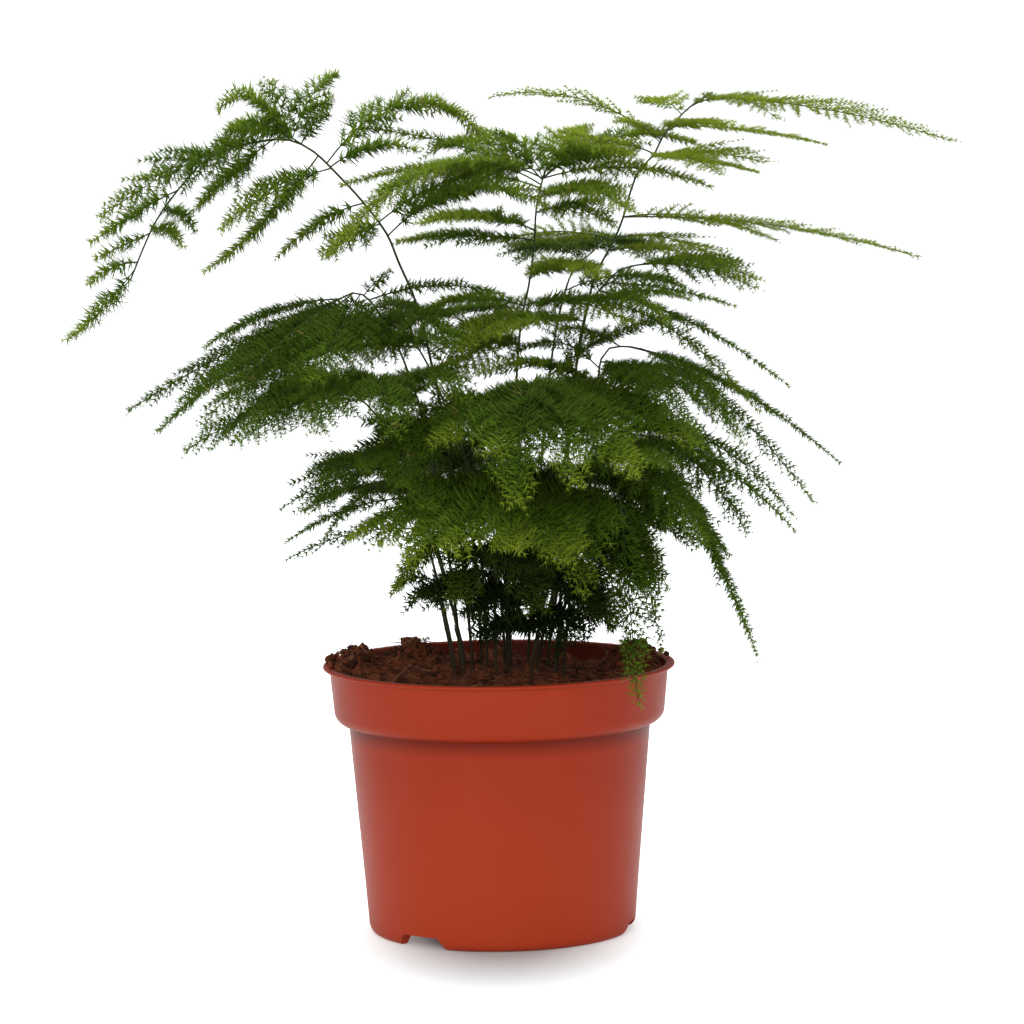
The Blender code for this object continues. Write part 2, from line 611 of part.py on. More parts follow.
def tooth_points(foot_a, foot_b, tip):
    """Points over the flat of a branchlet, close enough together to tell what it would touch."""
    rows = max(2, math.ceil((tip - foot_a.lerp(foot_b, 0.5)).length / (TOOTH_SAMPLE * MM)))
    points = [tip]
    for row in range(rows):
        left, right = foot_a.lerp(tip, row / rows), foot_b.lerp(tip, row / rows)
        count = max(1, math.ceil((right - left).length / (TOOTH_SAMPLE * MM)))
        points += [left.lerp(right, (n + 0.5) / count) for n in range(count)]
    return points


def make_plume(name, rib, half_width, roll, space, owner, collection):
    """A slim three-sided core along the rib. Its side faces are poked out into slanting branchlets,
    and every second one of the others into a needle, below the rib on one plume and above it on the
    next. What would touch another stem's plume is made shorter."""
    length = sum((b - a).length for a, b in zip(rib, rib[1:]))
    parts = max(3, round(length / (BRANCHLET_PITCH * MM)))
    ridge = 1 if owner[1] % 2 else -1
    bm = bmesh.new()
    bmesh.ops.create_cone(bm, segments=3, cap_ends=True, radius1=1, radius2=1, depth=1)
    uprights = [e for e in bm.edges if abs(e.verts[0].co.z - e.verts[1].co.z) > 0.5]
    bmesh.ops.subdivide_edges(bm, edges=uprights, cuts=parts - 1)
    places = [(face, face.calc_center_median()) for face in bm.faces if len(face.verts) == 4]
    feet = {face: sorted(face.verts, key=lambda vert: vert.co.z) for face, _ in places}
    for vert in bm.verts:
        share = vert.co.z + 0.5
        _, sideways, upwards = plume_axes(rib, share, roll)
        radius = (CORE_BASE_RADIUS + share * (CORE_TIP_RADIUS - CORE_BASE_RADIUS)) * MM * ridge
        vert.co = point_at(rib, share) + (sideways * vert.co.x + upwards * vert.co.y) * radius
    slant = math.radians(BRANCHLET_SLANT)
    for face, place in places:
        share = place.z + 0.5
        to_side = abs(place.x) > 0.2
        if share < BARE_SHARE or (not to_side and round(share * parts - 0.5) % 2):
            continue
        along, sideways, upwards = plume_axes(rib, share, roll)
        axis = (sideways * math.copysign(1, place.x) if to_side else -upwards) * ridge
        reach = half_width * width_share(share) / math.sin(slant) if to_side else NEEDLE_LENGTH * MM
        middle = face.calc_center_median()
        low, high = (feet[face][n].co.lerp(feet[face][n + 1].co, 0.5) for n in (0, 2))
        for part in (1.0, 0.7, 0.45, 0.25):
            tip = middle + (along * math.cos(slant) + axis * math.sin(slant)) * reach * part
            tip.z -= 0.1 * reach * part
            points = tooth_points(low, high, tip)
            if space.is_clear(points, TOOTH_CLEARANCE * MM, lambda other: other[0] == owner[0]):
                poked = bmesh.ops.poke(bm, faces=[face])
                poked["verts"][0].co = tip
                space.fill(points, owner)
                break
    return from_bmesh(name, bm, collection)


def join(stem, plumes):
    """One union of the stem and its plumes, whose collection is then removed."""
    union = stem.modifiers.new("join", "BOOLEAN")
    union.operation = "UNION"
    union.operand_type = "COLLECTION"
    union.collection = plumes
    union.solver = "MANIFOLD"
    apply_modifiers(stem)
    remove_collection(plumes)
    drop_scraps(stem)


def drop_scraps(obj):
    """Keeps only the largest piece of a mesh."""
    bm = bmesh.new()
    bm.from_mesh(obj.data)
    left = set(bm.verts)
    pieces = []
    while left:
        piece = set()
        edge_of_piece = {next(iter(left))}
        while edge_of_piece:
            piece |= edge_of_piece
            edge_of_piece = {e.other_vert(v) for v in edge_of_piece for e in v.link_edges} - piece
        pieces.append(piece)
        left -= piece
    scraps = set(bm.verts) - max(pieces, key=len)
    bmesh.ops.delete(bm, geom=list(scraps), context="VERTS")
    bm.to_mesh(obj.data)
    bm.free()


def make_fern(collection):
    """One object for each leafy stem."""
    leaf = material("fern", LEAF_COLOUR, 0.6)
    stems = grow()
    space = Space(4 * MM)
    for name, (line, plumes) in stems.items():
        space.fill(line, (name, None))
        for number, (rib, _, _) in enumerate(plumes):
            space.fill(rib[3:], (name, number))
    for name, (_, plumes) in stems.items():
        stem = make_stem(name, stem_line(name, STEM_STEP), collection)
        parts = scratch_collection(name + "_plumes")
        for number, (rib, half_width, roll) in enumerate(plumes):
            make_plume(f"{name}_plume_{number}", rib, half_width, roll, space, (name, number), parts)
        join(stem, parts)
        stem.data.materials.clear()
        stem.data.materials.append(leaf)


def main():
    for obj in list(bpy.data.objects):
        bpy.data.objects.remove(obj)
    collection = bpy.data.collections.new(PLANT_NAME)
    bpy.context.scene.collection.children.link(collection)
    make_pot(collection)
    make_soil(collection)
    make_fern(collection)


main()
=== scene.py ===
# %% [markdown]
# # A potted asparagus fern
#
# The object is a young asparagus fern in a plastic nursery pot. Three things make its look: a satin
# terracotta-coloured pot, dark crumbly coir, and a bush of flat, feathery plumes on wiry stems. The frame
# already holds every piece at its real size. This lesson rebuilds each of them finely, in the same place.
#
# Every length is worked out in millimetres, as a grower or a pot maker would give it, and MM turns it into
# Blender's metres.

# %% Load the frame
import math
import random

import bpy
import numpy as np
from mathutils import Matrix, Quaternion, Vector, noise


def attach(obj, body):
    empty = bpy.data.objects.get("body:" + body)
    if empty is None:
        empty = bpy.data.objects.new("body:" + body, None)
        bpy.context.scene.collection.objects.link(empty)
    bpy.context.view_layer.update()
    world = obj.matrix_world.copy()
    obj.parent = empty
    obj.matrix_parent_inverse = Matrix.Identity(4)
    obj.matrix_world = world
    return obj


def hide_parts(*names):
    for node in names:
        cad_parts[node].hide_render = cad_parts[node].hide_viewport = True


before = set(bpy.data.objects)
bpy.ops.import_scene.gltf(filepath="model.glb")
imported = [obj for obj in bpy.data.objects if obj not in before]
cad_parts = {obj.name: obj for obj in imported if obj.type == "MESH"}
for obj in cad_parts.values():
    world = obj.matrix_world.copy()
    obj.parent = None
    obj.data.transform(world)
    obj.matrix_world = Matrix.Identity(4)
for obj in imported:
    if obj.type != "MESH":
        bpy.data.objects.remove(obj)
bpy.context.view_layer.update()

MM = 0.001

# %% [markdown]
# ## Camera and light
#
# A camera far off with a long lens sees the plant almost without perspective, as a catalogue photographer
# does. It looks down by a few degrees, so that the pot's mouth shows as a thin ellipse. The light is a white
# studio: an even white room, a wide soft lamp above and a little behind, which brightens the tops of the
# plumes and drops the pot's shadow to the front, and a softer one over the viewer's left shoulder. The room
# is plain white to the camera but lights the plant less than that, so that the inside of the bush stays dark.

# %% Camera
CAMERA_PLACE = Vector((0.0052, -1.933, 0.357))
CAMERA_AIM = Vector((0.0052, 0.0, 0.1435))
CAMERA_ROLL = math.radians(-0.8)
CAMERA_LENS = 201.09

bpy.ops.object.camera_add(location=CAMERA_PLACE)
camera = bpy.context.active_object
camera.name = "camera"
camera.rotation_mode = "QUATERNION"
facing = (CAMERA_AIM - CAMERA_PLACE).to_track_quat("-Z", "Y")
camera.rotation_quaternion = facing @ Quaternion((0, 0, 1), CAMERA_ROLL)
camera.data.lens = CAMERA_LENS
camera.data.clip_start = 0.1
camera.data.clip_end = 200
bpy.context.scene.camera = camera
print("camera", round((CAMERA_AIM - CAMERA_PLACE).length, 2), "m away")

# %% Lamps and sky
SKY_SEEN = 1.1
SKY_LIGHT = 0.42
KEY_PLACE = Vector((-0.3, -1.6, 0.68))
KEY_SIDE = 0.9
KEY_POWER = 13.0
TOP_PLACE = Vector((0.0, 0.25, 1.2))
TOP_SIDE = 0.8
TOP_POWER = 15.5
MIDDLE = Vector((0, 0, 0.16))


def softbox(name, place, side, power):
    """A square lamp, with a side in metres and a power in watts, turned to the middle of the plant."""
    bpy.ops.object.light_add(type="AREA", location=place)
    lamp = bpy.context.active_object
    lamp.name = name
    lamp.rotation_mode = "QUATERNION"
    lamp.rotation_quaternion = (MIDDLE - place).to_track_quat("-Z", "Y")
    lamp.data.size = side
    lamp.data.energy = power


softbox("key_lamp", KEY_PLACE, KEY_SIDE, KEY_POWER)
softbox("top_lamp", TOP_PLACE, TOP_SIDE, TOP_POWER)
sky = bpy.data.worlds.new("studio_sky")
sky.use_nodes = True
light_path = sky.node_tree.nodes.new("ShaderNodeLightPath")
strength = sky.node_tree.nodes.new("ShaderNodeMapRange")
strength.inputs["To Min"].default_value = SKY_LIGHT
strength.inputs["To Max"].default_value = SKY_SEEN
background = sky.node_tree.nodes["Background"]
background.inputs["Color"].default_value = (1, 1, 1, 1)
sky.node_tree.links.new(light_path.outputs["Is Camera Ray"], strength.inputs["Value"])
sky.node_tree.links.new(strength.outputs["Result"], background.inputs["Strength"])
bpy.context.scene.world = sky
bpy.context.scene.view_settings.view_transform = "Standard"
print("sky and two lamps")

# %% [markdown]
# ## Helpers
#
# An operator acts on whatever is selected, so each step first clears the selection. What is repeated
# thousands of times, such as a tuft of needles, is modelled once and read as arrays. Its copies are then
# worked out all together and stored in one mesh, which is quicker by far than thousands of objects.

# %% Helpers


def clear_selection():
    if bpy.context.object and bpy.context.object.mode != "OBJECT":
        bpy.ops.object.mode_set(mode="OBJECT")
    bpy.ops.object.select_all(action="DESELECT")


def pick(*objects):
    """Selects only these objects and makes the first one active."""
    clear_selection()
    for obj in objects:
        obj.select_set(True)
    bpy.context.view_layer.objects.active = objects[0]


def made(name):
    """Names the object that an operator has just made, and its mesh."""
    obj = bpy.context.active_object
    obj.name = name
    obj.data.name = name
    return obj


def edit_all():
    """Enters edit mode with the whole mesh selected."""
    bpy.ops.object.mode_set(mode="EDIT")
    bpy.ops.mesh.select_all(action="SELECT")


def close_edit():
    """Turns every face outwards and leaves edit mode."""
    bpy.ops.mesh.select_all(action="SELECT")
    bpy.ops.mesh.normals_make_consistent(inside=False)
    bpy.ops.object.mode_set(mode="OBJECT")


def apply_all(obj):
    """Applies the object's modifiers and its own place, turn and size."""
    pick(obj)
    for modifier in list(obj.modifiers):
        bpy.ops.object.modifier_apply(modifier=modifier.name)
    bpy.ops.object.transform_apply(location=True, rotation=True, scale=True)


# %% Copies and pieces


def unit_of(obj):
    """An object's points and triangles as arrays. The object itself is then removed."""
    mesh = obj.data
    mesh.calc_loop_triangles()
    points = np.empty(len(mesh.vertices) * 3)
    mesh.vertices.foreach_get("co", points)
    triangles = np.empty(len(mesh.loop_triangles) * 3, dtype=np.int64)
    mesh.loop_triangles.foreach_get("vertices", triangles)
    bpy.data.objects.remove(obj)
    return points.reshape(-1, 3), triangles.reshape(-1, 3)


def copies(unit, places, axes):
    """Points and triangles of a unit's copies. Each has a place, and the vectors that stand for the
    unit's X, Y and Z."""
    points, triangles = unit
    moved = np.einsum("pa,nac->npc", points, axes) + places[:, None]
    first = np.arange(len(places)) * len(points)
    return moved.reshape(-1, 3), (triangles[None] + first[:, None, None]).reshape(-1, 3)


def mesh_piece(name, sets, finish):
    """One mesh from sets of (points, triangles, {attribute: a value for each point})."""
    starts = np.cumsum([0, *(len(points) for points, _, _ in sets)])
    points = np.concatenate([points for points, _, _ in sets])
    triangles = np.concatenate([faces + start for (_, faces, _), start in zip(sets, starts)])
    mesh = bpy.data.meshes.new(name)
    mesh.vertices.add(len(points))
    mesh.vertices.foreach_set("co", points.ravel().astype(np.float32))
    mesh.loops.add(triangles.size)
    mesh.loops.foreach_set("vertex_index", triangles.ravel().astype(np.int32))
    mesh.polygons.add(len(triangles))
    mesh.polygons.foreach_set("loop_start", np.arange(0, triangles.size, 3, dtype=np.int32))
    for attribute in sets[0][2]:
        values = np.concatenate([given[attribute] for _, _, given in sets])
        layer = mesh.attributes.new(attribute, "FLOAT", "POINT")
        layer.data.foreach_set("value", values.astype(np.float32))
    mesh.update(calc_edges=True)
    mesh.validate()
    mesh.materials.append(finish)
    obj = bpy.data.objects.new(name, mesh)
    bpy.context.scene.collection.objects.link(obj)
    return obj


def finish_piece(obj, slot, *nodes):
    """The piece moves with the one body and stands for its nodes. The slot argument is not used."""
    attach(obj, "root")
    if nodes:
        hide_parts(*nodes)
    print(obj.name, "has", sum(len(p.vertices) - 2 for p in obj.data.polygons), "triangles")


# %% [markdown]
# ## Finishes
#
# Every finish is worked out from noise, so it needs no pictures and keeps its detail however close the
# camera comes. Three effects are used by more than one material, and each is a node group that is built
# once: mottle mixes two colours in soft patches, grain gives the fine relief that breaks up a highlight,
# and streaks runs long thin marks along one direction, as in fibres and on stems.

# %% Node helpers
NOISE_ROUGHNESS = 0.6


def feed(tree, node, values):
    """Gives a node's entries, known by name or number, a plain value each or a link from a socket."""
    for entry, given in values.items():
        socket = node.inputs[entry]
        if isinstance(given, bpy.types.NodeSocket):
            tree.links.new(given, socket)
        elif socket.type == "RGBA":
            socket.default_value = (*given, 1)
        else:
            socket.default_value = given


def noise_cloud(tree, vector, scale, detail):
    node = tree.nodes.new("ShaderNodeTexNoise")
    feed(tree, node, {"Vector": vector, "Scale": scale, "Detail": detail, "Roughness": NOISE_ROUGHNESS})
    return node.outputs["Fac"]


def spread(tree, value, low, high, to_low=0.0, to_high=1.0):
    """Stretches the values between low and high over a new range."""
    node = tree.nodes.new("ShaderNodeMapRange")
    feed(tree, node, {"Value": value, "From Min": low, "From Max": high, "To Min": to_low, "To Max": to_high})
    return node.outputs["Result"]


def mix(tree, share, first, second):
    """Mixes two colours, each a socket or three numbers, by a share that is a socket or a number."""
    node = tree.nodes.new("ShaderNodeMix")
    node.data_type = "RGBA"
    feed(tree, node, {0: share, 6: first, 7: second})
    return node.outputs[2]


def maths(tree, operation, *values):
    """One step of arithmetic. Each value is a number, or a socket that gives one."""
    node = tree.nodes.new("ShaderNodeMath")
    node.operation = operation
    feed(tree, node, dict(enumerate(values)))
    return node.outputs[0]


def vector_maths(tree, operation, *values):
    """The same with vectors. Only LENGTH gives a number."""
    node = tree.nodes.new("ShaderNodeVectorMath")
    node.operation = operation
    feed(tree, node, dict(enumerate(values)))
    return node.outputs["Value" if operation == "LENGTH" else "Vector"]


# %% Shared effects
NOISE_MIDDLE = 0.5
WIDE_GRAIN = 0.15
STREAK_EDGE = (0.35, 0.65)


def new_group(name, inputs, outputs):
    """An empty node group with named inputs (kind, starting value) and outputs. It comes with the sockets
    that bring its inputs, and with the node that takes its results."""
    tree = bpy.data.node_groups.new(name, "ShaderNodeTree")
    for label, (kind, value) in inputs.items():
        socket = tree.interface.new_socket(name=label, in_out="INPUT", socket_type="NodeSocket" + kind)
        if value is not None:
            socket.default_value = value
    for label, kind in outputs.items():
        tree.interface.new_socket(name=label, in_out="OUTPUT", socket_type="NodeSocket" + kind)
    return tree, tree.nodes.new("NodeGroupInput").outputs, tree.nodes.new("NodeGroupOutput")


def build_mottle():
    inputs = {
        "Vector": ("Vector", None), "Scale": ("Float", 100.0), "Softness": ("Float", 0.2),
        "First": ("Color", None), "Second": ("Color", None),
    }
    tree, given, result = new_group("mottle", inputs, {"Color": "Color", "Mask": "Float"})
    cloud = noise_cloud(tree, given["Vector"], given["Scale"], detail=4)
    low = maths(tree, "SUBTRACT", NOISE_MIDDLE, given["Softness"])
    high = maths(tree, "ADD", NOISE_MIDDLE, given["Softness"])
    mask = spread(tree, cloud, low, high)
    feed(tree, result, {"Color": mix(tree, mask, given["First"], given["Second"]), "Mask": mask})
    return tree


def build_grain():
    inputs = {"Vector": ("Vector", None), "Scale": ("Float", 800.0), "Coarse": ("Float", 0.3)}
    tree, given, result = new_group("grain", inputs, {"Height": "Float"})
    fine = noise_cloud(tree, given["Vector"], given["Scale"], detail=3)
    wide = noise_cloud(tree, given["Vector"], maths(tree, "MULTIPLY", given["Scale"], WIDE_GRAIN), detail=2)
    blend = tree.nodes.new("ShaderNodeMix")
    feed(tree, blend, {0: given["Coarse"], 2: fine, 3: wide})
    feed(tree, result, {"Height": blend.outputs[0]})
    return tree


def build_streaks():
    inputs = {
        "Vector": ("Vector", None), "Stretch": ("Vector", (1.0, 1.0, 0.1)), "Scale": ("Float", 400.0),
    }
    tree, given, result = new_group("streaks", inputs, {"Mask": "Float"})
    stretched = vector_maths(tree, "MULTIPLY", given["Vector"], given["Stretch"])
    marks = noise_cloud(tree, stretched, given["Scale"], detail=3)
    feed(tree, result, {"Mask": spread(tree, marks, *STREAK_EDGE)})
    return tree


MOTTLE = build_mottle()
GRAIN = build_grain()
STREAKS = build_streaks()
print("effects:", [group.name for group in bpy.data.node_groups])

# %% Material helpers


class Finish:
    """A material with its Principled shader, and short ways to place nodes in it."""

    def __init__(self, name):
        self.material = bpy.data.materials.new(name)
        self.material.use_nodes = True
        self.tree = self.material.node_tree
        self.shader = self.tree.nodes["Principled BSDF"]
        self.here = self.tree.nodes.new("ShaderNodeTexCoord").outputs["Object"]

    def set(self, **values):
        """Gives the shader's entries a value or a link. An underscore in a name stands for a space."""
        feed(self.tree, self.shader, {label.replace("_", " "): value for label, value in values.items()})

    def group(self, tree, output, **inputs):
        """Places a node group with values of its own."""
        node = self.tree.nodes.new("ShaderNodeGroup")
        node.node_tree = tree
        feed(self.tree, node, {"Vector": self.here, **inputs})
        return node.outputs[output]

    def attribute(self, name):
        """A value that the mesh holds for each of its points."""
        node = self.tree.nodes.new("ShaderNodeAttribute")
        node.attribute_name = name
        return node.outputs["Fac"]

    def level(self):
        """The height above the floor, in metres."""
        node = self.tree.nodes.new("ShaderNodeSeparateXYZ")
        feed(self.tree, node, {0: self.here})
        return node.outputs["Z"]

    def distance(self, weights, middle=(0, 0, 0)):
        """How far a place is from a middle, with each direction multiplied by its weight."""
        off = vector_maths(self.tree, "SUBTRACT", self.here, middle)
        return vector_maths(self.tree, "LENGTH", vector_maths(self.tree, "MULTIPLY", off, weights))

    def tint(self, colour, paint, mask, edge=(0, 1), shares=(0, 1)):
        """Lays a paint over a colour. While the mask goes from one end of the edge to the other, the
        paint's share goes from the first share to the second."""
        return mix(self.tree, spread(self.tree, mask, *edge, *shares), colour, paint)

    def grain(self, strength, depth, **inputs):
        """Gives the surface fine relief of a strength and a depth in metres."""
        height = self.group(GRAIN, "Height", **inputs)
        node = self.tree.nodes.new("ShaderNodeBump")
        feed(self.tree, node, {"Height": height, "Strength": strength, "Distance": depth})
        self.set(Normal=node.outputs["Normal"])


# %% [markdown]
# ## The floor
#
# The floor is the studio's, not the plant's. It is one wide plane, pale enough that the lamps nearly bleach
# it round the pot and leave only the soft shadow. It also glows by itself, as painted light that grows a
# little with every step away from the pot, until floor and room are the same white. The glow starts sooner
# at the sides than in front, so it paints out the shadow at the sides and leaves it in front. It lights the
# pot less than it shows.

# %% Floor
FLOOR_SIDE = 60.0
FLOOR_COLOUR = (0.71, 0.76, 0.765)
GLOW_FROM = 0.028
GLOW_FULL = 0.085
GLOW_SHAPE = (1.3, 0.55, 1.0)
GLOW_LIGHT = 0.35

clear_selection()
bpy.ops.mesh.primitive_plane_add(size=FLOOR_SIDE, location=(0, 0, 0))
floor = made("studio_floor")
paper = Finish("studio_paper")
tree = paper.tree
# Painted light: the floor's own glow, which grows away from the pot and washes out the shadow at the sides.
glow = spread(tree, paper.distance(GLOW_SHAPE), GLOW_FROM, GLOW_FULL)
seen = tree.nodes.new("ShaderNodeLightPath").outputs["Is Camera Ray"]
glow = maths(tree, "MULTIPLY", glow, spread(tree, seen, 0, 1, GLOW_LIGHT, 1))
paper.set(Base_Color=FLOOR_COLOUR, Roughness=0.9, Specular_IOR_Level=0.1)
paper.set(Emission_Color=glow, Emission_Strength=1.0)
floor.data.materials.append(paper.material)
print("floor", FLOOR_SIDE, "m across")

# %% [markdown]
# ## The pot
#
# A nursery pot is moulded in one shot: a thin tapering wall, a deep collar that stiffens the mouth and lets
# pots stack, a small rolled lip, and a raised floor inside a foot ring with notches for water to run out.
# A mould is turned, so the pot is too. It starts as a disc, the inner floor, and is pulled out ring by ring:
# up the inside, over the lip, round the shoulder under the collar, down to the foot and in again. The
# notches and drainage holes are then cut with Booleans, as a mould maker would leave them out.

# %% Pot sizes
LIP_RADIUS = 60.0
LIP_THICK = 1.3
RIM_HEIGHT = 92.0
COLLAR_TOP_RADIUS = 57.7
COLLAR_LOW_RADIUS = 56.4
COLLAR_LOW = 76.5
BODY_TOP_RADIUS = 51.4
BODY_TOP = 71.2
BODY_LOW_RADIUS = 45.6
BODY_LOW = 4.0
FOOT_RADIUS = 43.2
FOOT_INNER_RADIUS = 41.2
FLOOR_UNDER = 3.6
WALL = 1.0
FLOOR_THICK = 1.4
INNER_CORNER = 2.0
LIP_ROLL = 1.2
LIP_EDGE = 0.6
UNDER_LIP = (0.6, 0.5)
CREASE_ROUND = 0.5
CREASE_RAISED = 0.3
FOOT_INSET = 0.4
POT_SIDES = 112
DISC_RADIUS = 36.0

NOTCH_ANGLES = (232.0, 350.0, 111.0)
NOTCH_TOP_WIDTH = 15.0
NOTCH_LOW_WIDTH = 20.0
NOTCH_HEIGHT = 4.2
NOTCH_DEPTH = 12.0
NOTCH_ROUND = 1.2
DRAIN_COUNT = 6
DRAIN_RADIUS = 3.5
DRAIN_RING_RADIUS = 27.0
DRAIN_FIRST_ANGLE = 20
DRAIN_PEG = 6.0

# %% Pot section


def inner_radius(height):
    """The pot's inner radius at a height, both in millimetres."""
    if height > COLLAR_LOW:
        share = (height - COLLAR_LOW) / (RIM_HEIGHT - COLLAR_LOW)
        return COLLAR_LOW_RADIUS + share * (COLLAR_TOP_RADIUS - COLLAR_LOW_RADIUS) - WALL
    if height > BODY_TOP:
        share = (height - BODY_TOP) / (COLLAR_LOW - BODY_TOP)
        return BODY_TOP_RADIUS + share * (COLLAR_LOW_RADIUS - BODY_TOP_RADIUS) - WALL
    share = (height - BODY_LOW) / (BODY_TOP - BODY_LOW)
    return BODY_LOW_RADIUS + share * (BODY_TOP_RADIUS - BODY_LOW_RADIUS) - WALL


def arc(middle, size, start, end, steps):
    """Points on an arc in the pot's section. size is its reach outwards and upwards, angles in degrees."""
    points = []
    for n in range(steps + 1):
        angle = math.radians(start + (end - start) * n / steps)
        points.append((middle[0] + size[0] * math.cos(angle), middle[1] + size[1] * math.sin(angle)))
    return points


def evenly(start, end, steps):
    """Points between two places in the section, without the two ends."""
    return [
        (start[0] + (end[0] - start[0]) * n / steps, start[1] + (end[1] - start[1]) * n / steps)
        for n in range(1, steps)
    ]


def pot_rings():
    """The section from the inner floor's disc, up, over the lip and down to the raised floor's disc."""
    low = FLOOR_UNDER + FLOOR_THICK + INNER_CORNER
    inside = arc((inner_radius(low) - INNER_CORNER, low), (INNER_CORNER, INNER_CORNER), -90, 0, 4)
    inside += [(inner_radius(h), h) for h in (20, 45, BODY_TOP - 1, BODY_TOP, 73.5, COLLAR_LOW, 80, 86)]
    lip_low = RIM_HEIGHT - LIP_THICK
    lip_inside = COLLAR_TOP_RADIUS - WALL
    inside += [(lip_inside, lip_low - 0.3)]
    bend = arc((lip_inside + LIP_ROLL, RIM_HEIGHT - LIP_ROLL), (LIP_ROLL, LIP_ROLL), 180, 90, 5)
    edge = arc((LIP_RADIUS - LIP_EDGE, RIM_HEIGHT - LIP_EDGE), (LIP_EDGE, LIP_EDGE), 90, -60, 6)
    under = arc((COLLAR_TOP_RADIUS + UNDER_LIP[0], lip_low - UNDER_LIP[1]), UNDER_LIP, 90, 180, 4)
    collar = evenly(under[-1], (COLLAR_LOW_RADIUS, COLLAR_LOW), 6)
    fillet = BODY_TOP_RADIUS + CREASE_ROUND
    round_in = COLLAR_LOW_RADIUS - fillet
    drop = COLLAR_LOW - BODY_TOP - (CREASE_ROUND + CREASE_RAISED)
    shoulder = arc((fillet, COLLAR_LOW), (round_in, drop), 0, -90, 12)
    crease = arc((fillet, BODY_TOP + CREASE_RAISED), (CREASE_ROUND, CREASE_ROUND), 90, 180, 3)
    body = evenly(crease[-1], (BODY_LOW_RADIUS, BODY_LOW), 10)
    foot_in = FOOT_RADIUS - FOOT_INSET
    foot = arc((foot_in, BODY_LOW), (BODY_LOW_RADIUS - foot_in, BODY_LOW), 0, -82, 8)
    ring = [(FOOT_RADIUS - 0.2, 0.0), (FOOT_INNER_RADIUS, 0.0), (FOOT_INNER_RADIUS - 0.4, FLOOR_UNDER)]
    return inside + bend + edge + under + collar + shoulder + crease + body + foot + ring


# %% Pot body
clear_selection()
bpy.ops.mesh.primitive_circle_add(
    vertices=POT_SIDES, radius=DISC_RADIUS * MM, fill_type="NGON",
    location=(0, 0, (FLOOR_UNDER + FLOOR_THICK) * MM),
)
pot = made("pot_moulded")
bpy.ops.object.transform_apply(location=True)
edit_all()
radius, height = DISC_RADIUS, FLOOR_UNDER + FLOOR_THICK
for next_radius, next_height in [*pot_rings(), (DISC_RADIUS, FLOOR_UNDER)]:
    bpy.ops.mesh.extrude_region_move()
    bpy.ops.transform.resize(value=(next_radius / radius, next_radius / radius, 1))
    bpy.ops.transform.translate(value=(0, 0, (next_height - height) * MM))
    radius, height = next_radius, next_height
close_edit()
print("pot rings:", len(pot_rings()))

# %% Notches and drainage holes


def cut(obj, cutter):
    """Cuts one solid from another and removes it."""
    modifier = obj.modifiers.new("cut", "BOOLEAN")
    modifier.operation = "DIFFERENCE"
    modifier.object = cutter
    modifier.solver = "EXACT"
    pick(obj)
    bpy.ops.object.modifier_apply(modifier="cut")
    bpy.data.objects.remove(cutter)


def notch_wedge(angle):
    """A wedge across the foot, wider at the floor, at an angle round the pot."""
    clear_selection()
    bpy.ops.mesh.primitive_cube_add(size=1, location=(0, 0, 0))
    wedge = made("notch_wedge")
    wedge.scale = Vector((NOTCH_DEPTH, NOTCH_LOW_WIDTH, 2 * NOTCH_HEIGHT)) * MM
    bpy.ops.object.transform_apply(scale=True)
    narrower = NOTCH_TOP_WIDTH / NOTCH_LOW_WIDTH
    for vert in wedge.data.vertices:
        vert.co.y *= narrower if vert.co.z > 0 else 2 - narrower
    bevel = wedge.modifiers.new("round", "BEVEL")
    bevel.width = NOTCH_ROUND * MM
    bevel.segments = 3
    wedge.location = Matrix.Rotation(math.radians(angle), 3, "Z") @ Vector((BODY_LOW_RADIUS * MM, 0, 0))
    wedge.rotation_euler.z = math.radians(angle)
    apply_all(wedge)
    return wedge


for angle in NOTCH_ANGLES:
    cut(pot, notch_wedge(angle))
for n in range(DRAIN_COUNT):
    angle = math.radians(DRAIN_FIRST_ANGLE + 360 * n / DRAIN_COUNT)
    place = Vector((math.cos(angle), math.sin(angle), 0)) * DRAIN_RING_RADIUS + Vector((0, 0, FLOOR_UNDER))
    clear_selection()
    bpy.ops.mesh.primitive_cylinder_add(
        vertices=24, radius=DRAIN_RADIUS * MM, depth=DRAIN_PEG * MM, location=place * MM
    )
    cut(pot, made("drain_peg"))
pick(pot)
bpy.ops.object.shade_smooth_by_angle(angle=math.radians(38))
print("notches", len(NOTCH_ANGLES), "holes", DRAIN_COUNT)

# %% [markdown]
# The plastic is polypropylene: satin, a little cloudy, with a very fine texture left by the mould. Its
# colour is nearly even; towards the foot it is painted paler, as painted light that evens out the lamps'
# shading of the lower wall. Handling leaves faint scuffs. A band round the crease under the collar is painted
# darker, as painted shade for the collar's shadow on the body. Little light comes to the wall's inside, so it
# is painted darker, as painted shade. The inside is told from the outside by its distance from the axis: the
# wall leans out as it rises, and the slope takes that away again. A satin surface mirrors the white room at a
# grazing angle by itself, which is what makes both edges look greyer.

# %% Pot plastic
TERRACOTTA = (0.345, 0.0325, 0.0095)
TERRACOTTA_DEEP = (0.315, 0.028, 0.0075)
SCUFF = (0.42, 0.10, 0.05)
SCUFF_EDGE = (0.75, 1.0)
SCUFF_SHARE = 0.04
CREASE_SHADE_COLOUR = (0.085, 0.006, 0.002)
CREASE_SHADE_SHARE = 0.65
CREASE_SHADE_BELOW = (0.0660, 0.0710)
CREASE_SHADE_ABOVE = (0.0714, 0.0738)
FOOT_PAINTED_LIGHT = (0.48, 0.052, 0.016)
FOOT_LIGHT_SHARE = 0.85
FOOT_LIGHT_TO = 0.060
INSIDE_SHADE = (0.120, 0.016, 0.006)
INSIDE_SHADE_SHARE = 0.85
INSIDE_SLOPE = -0.0915
INSIDE_RADIUS = (0.0488, 0.0490)
INSIDE_FROM = (0.0775, 0.0785)
SATIN = (0.36, 0.46)

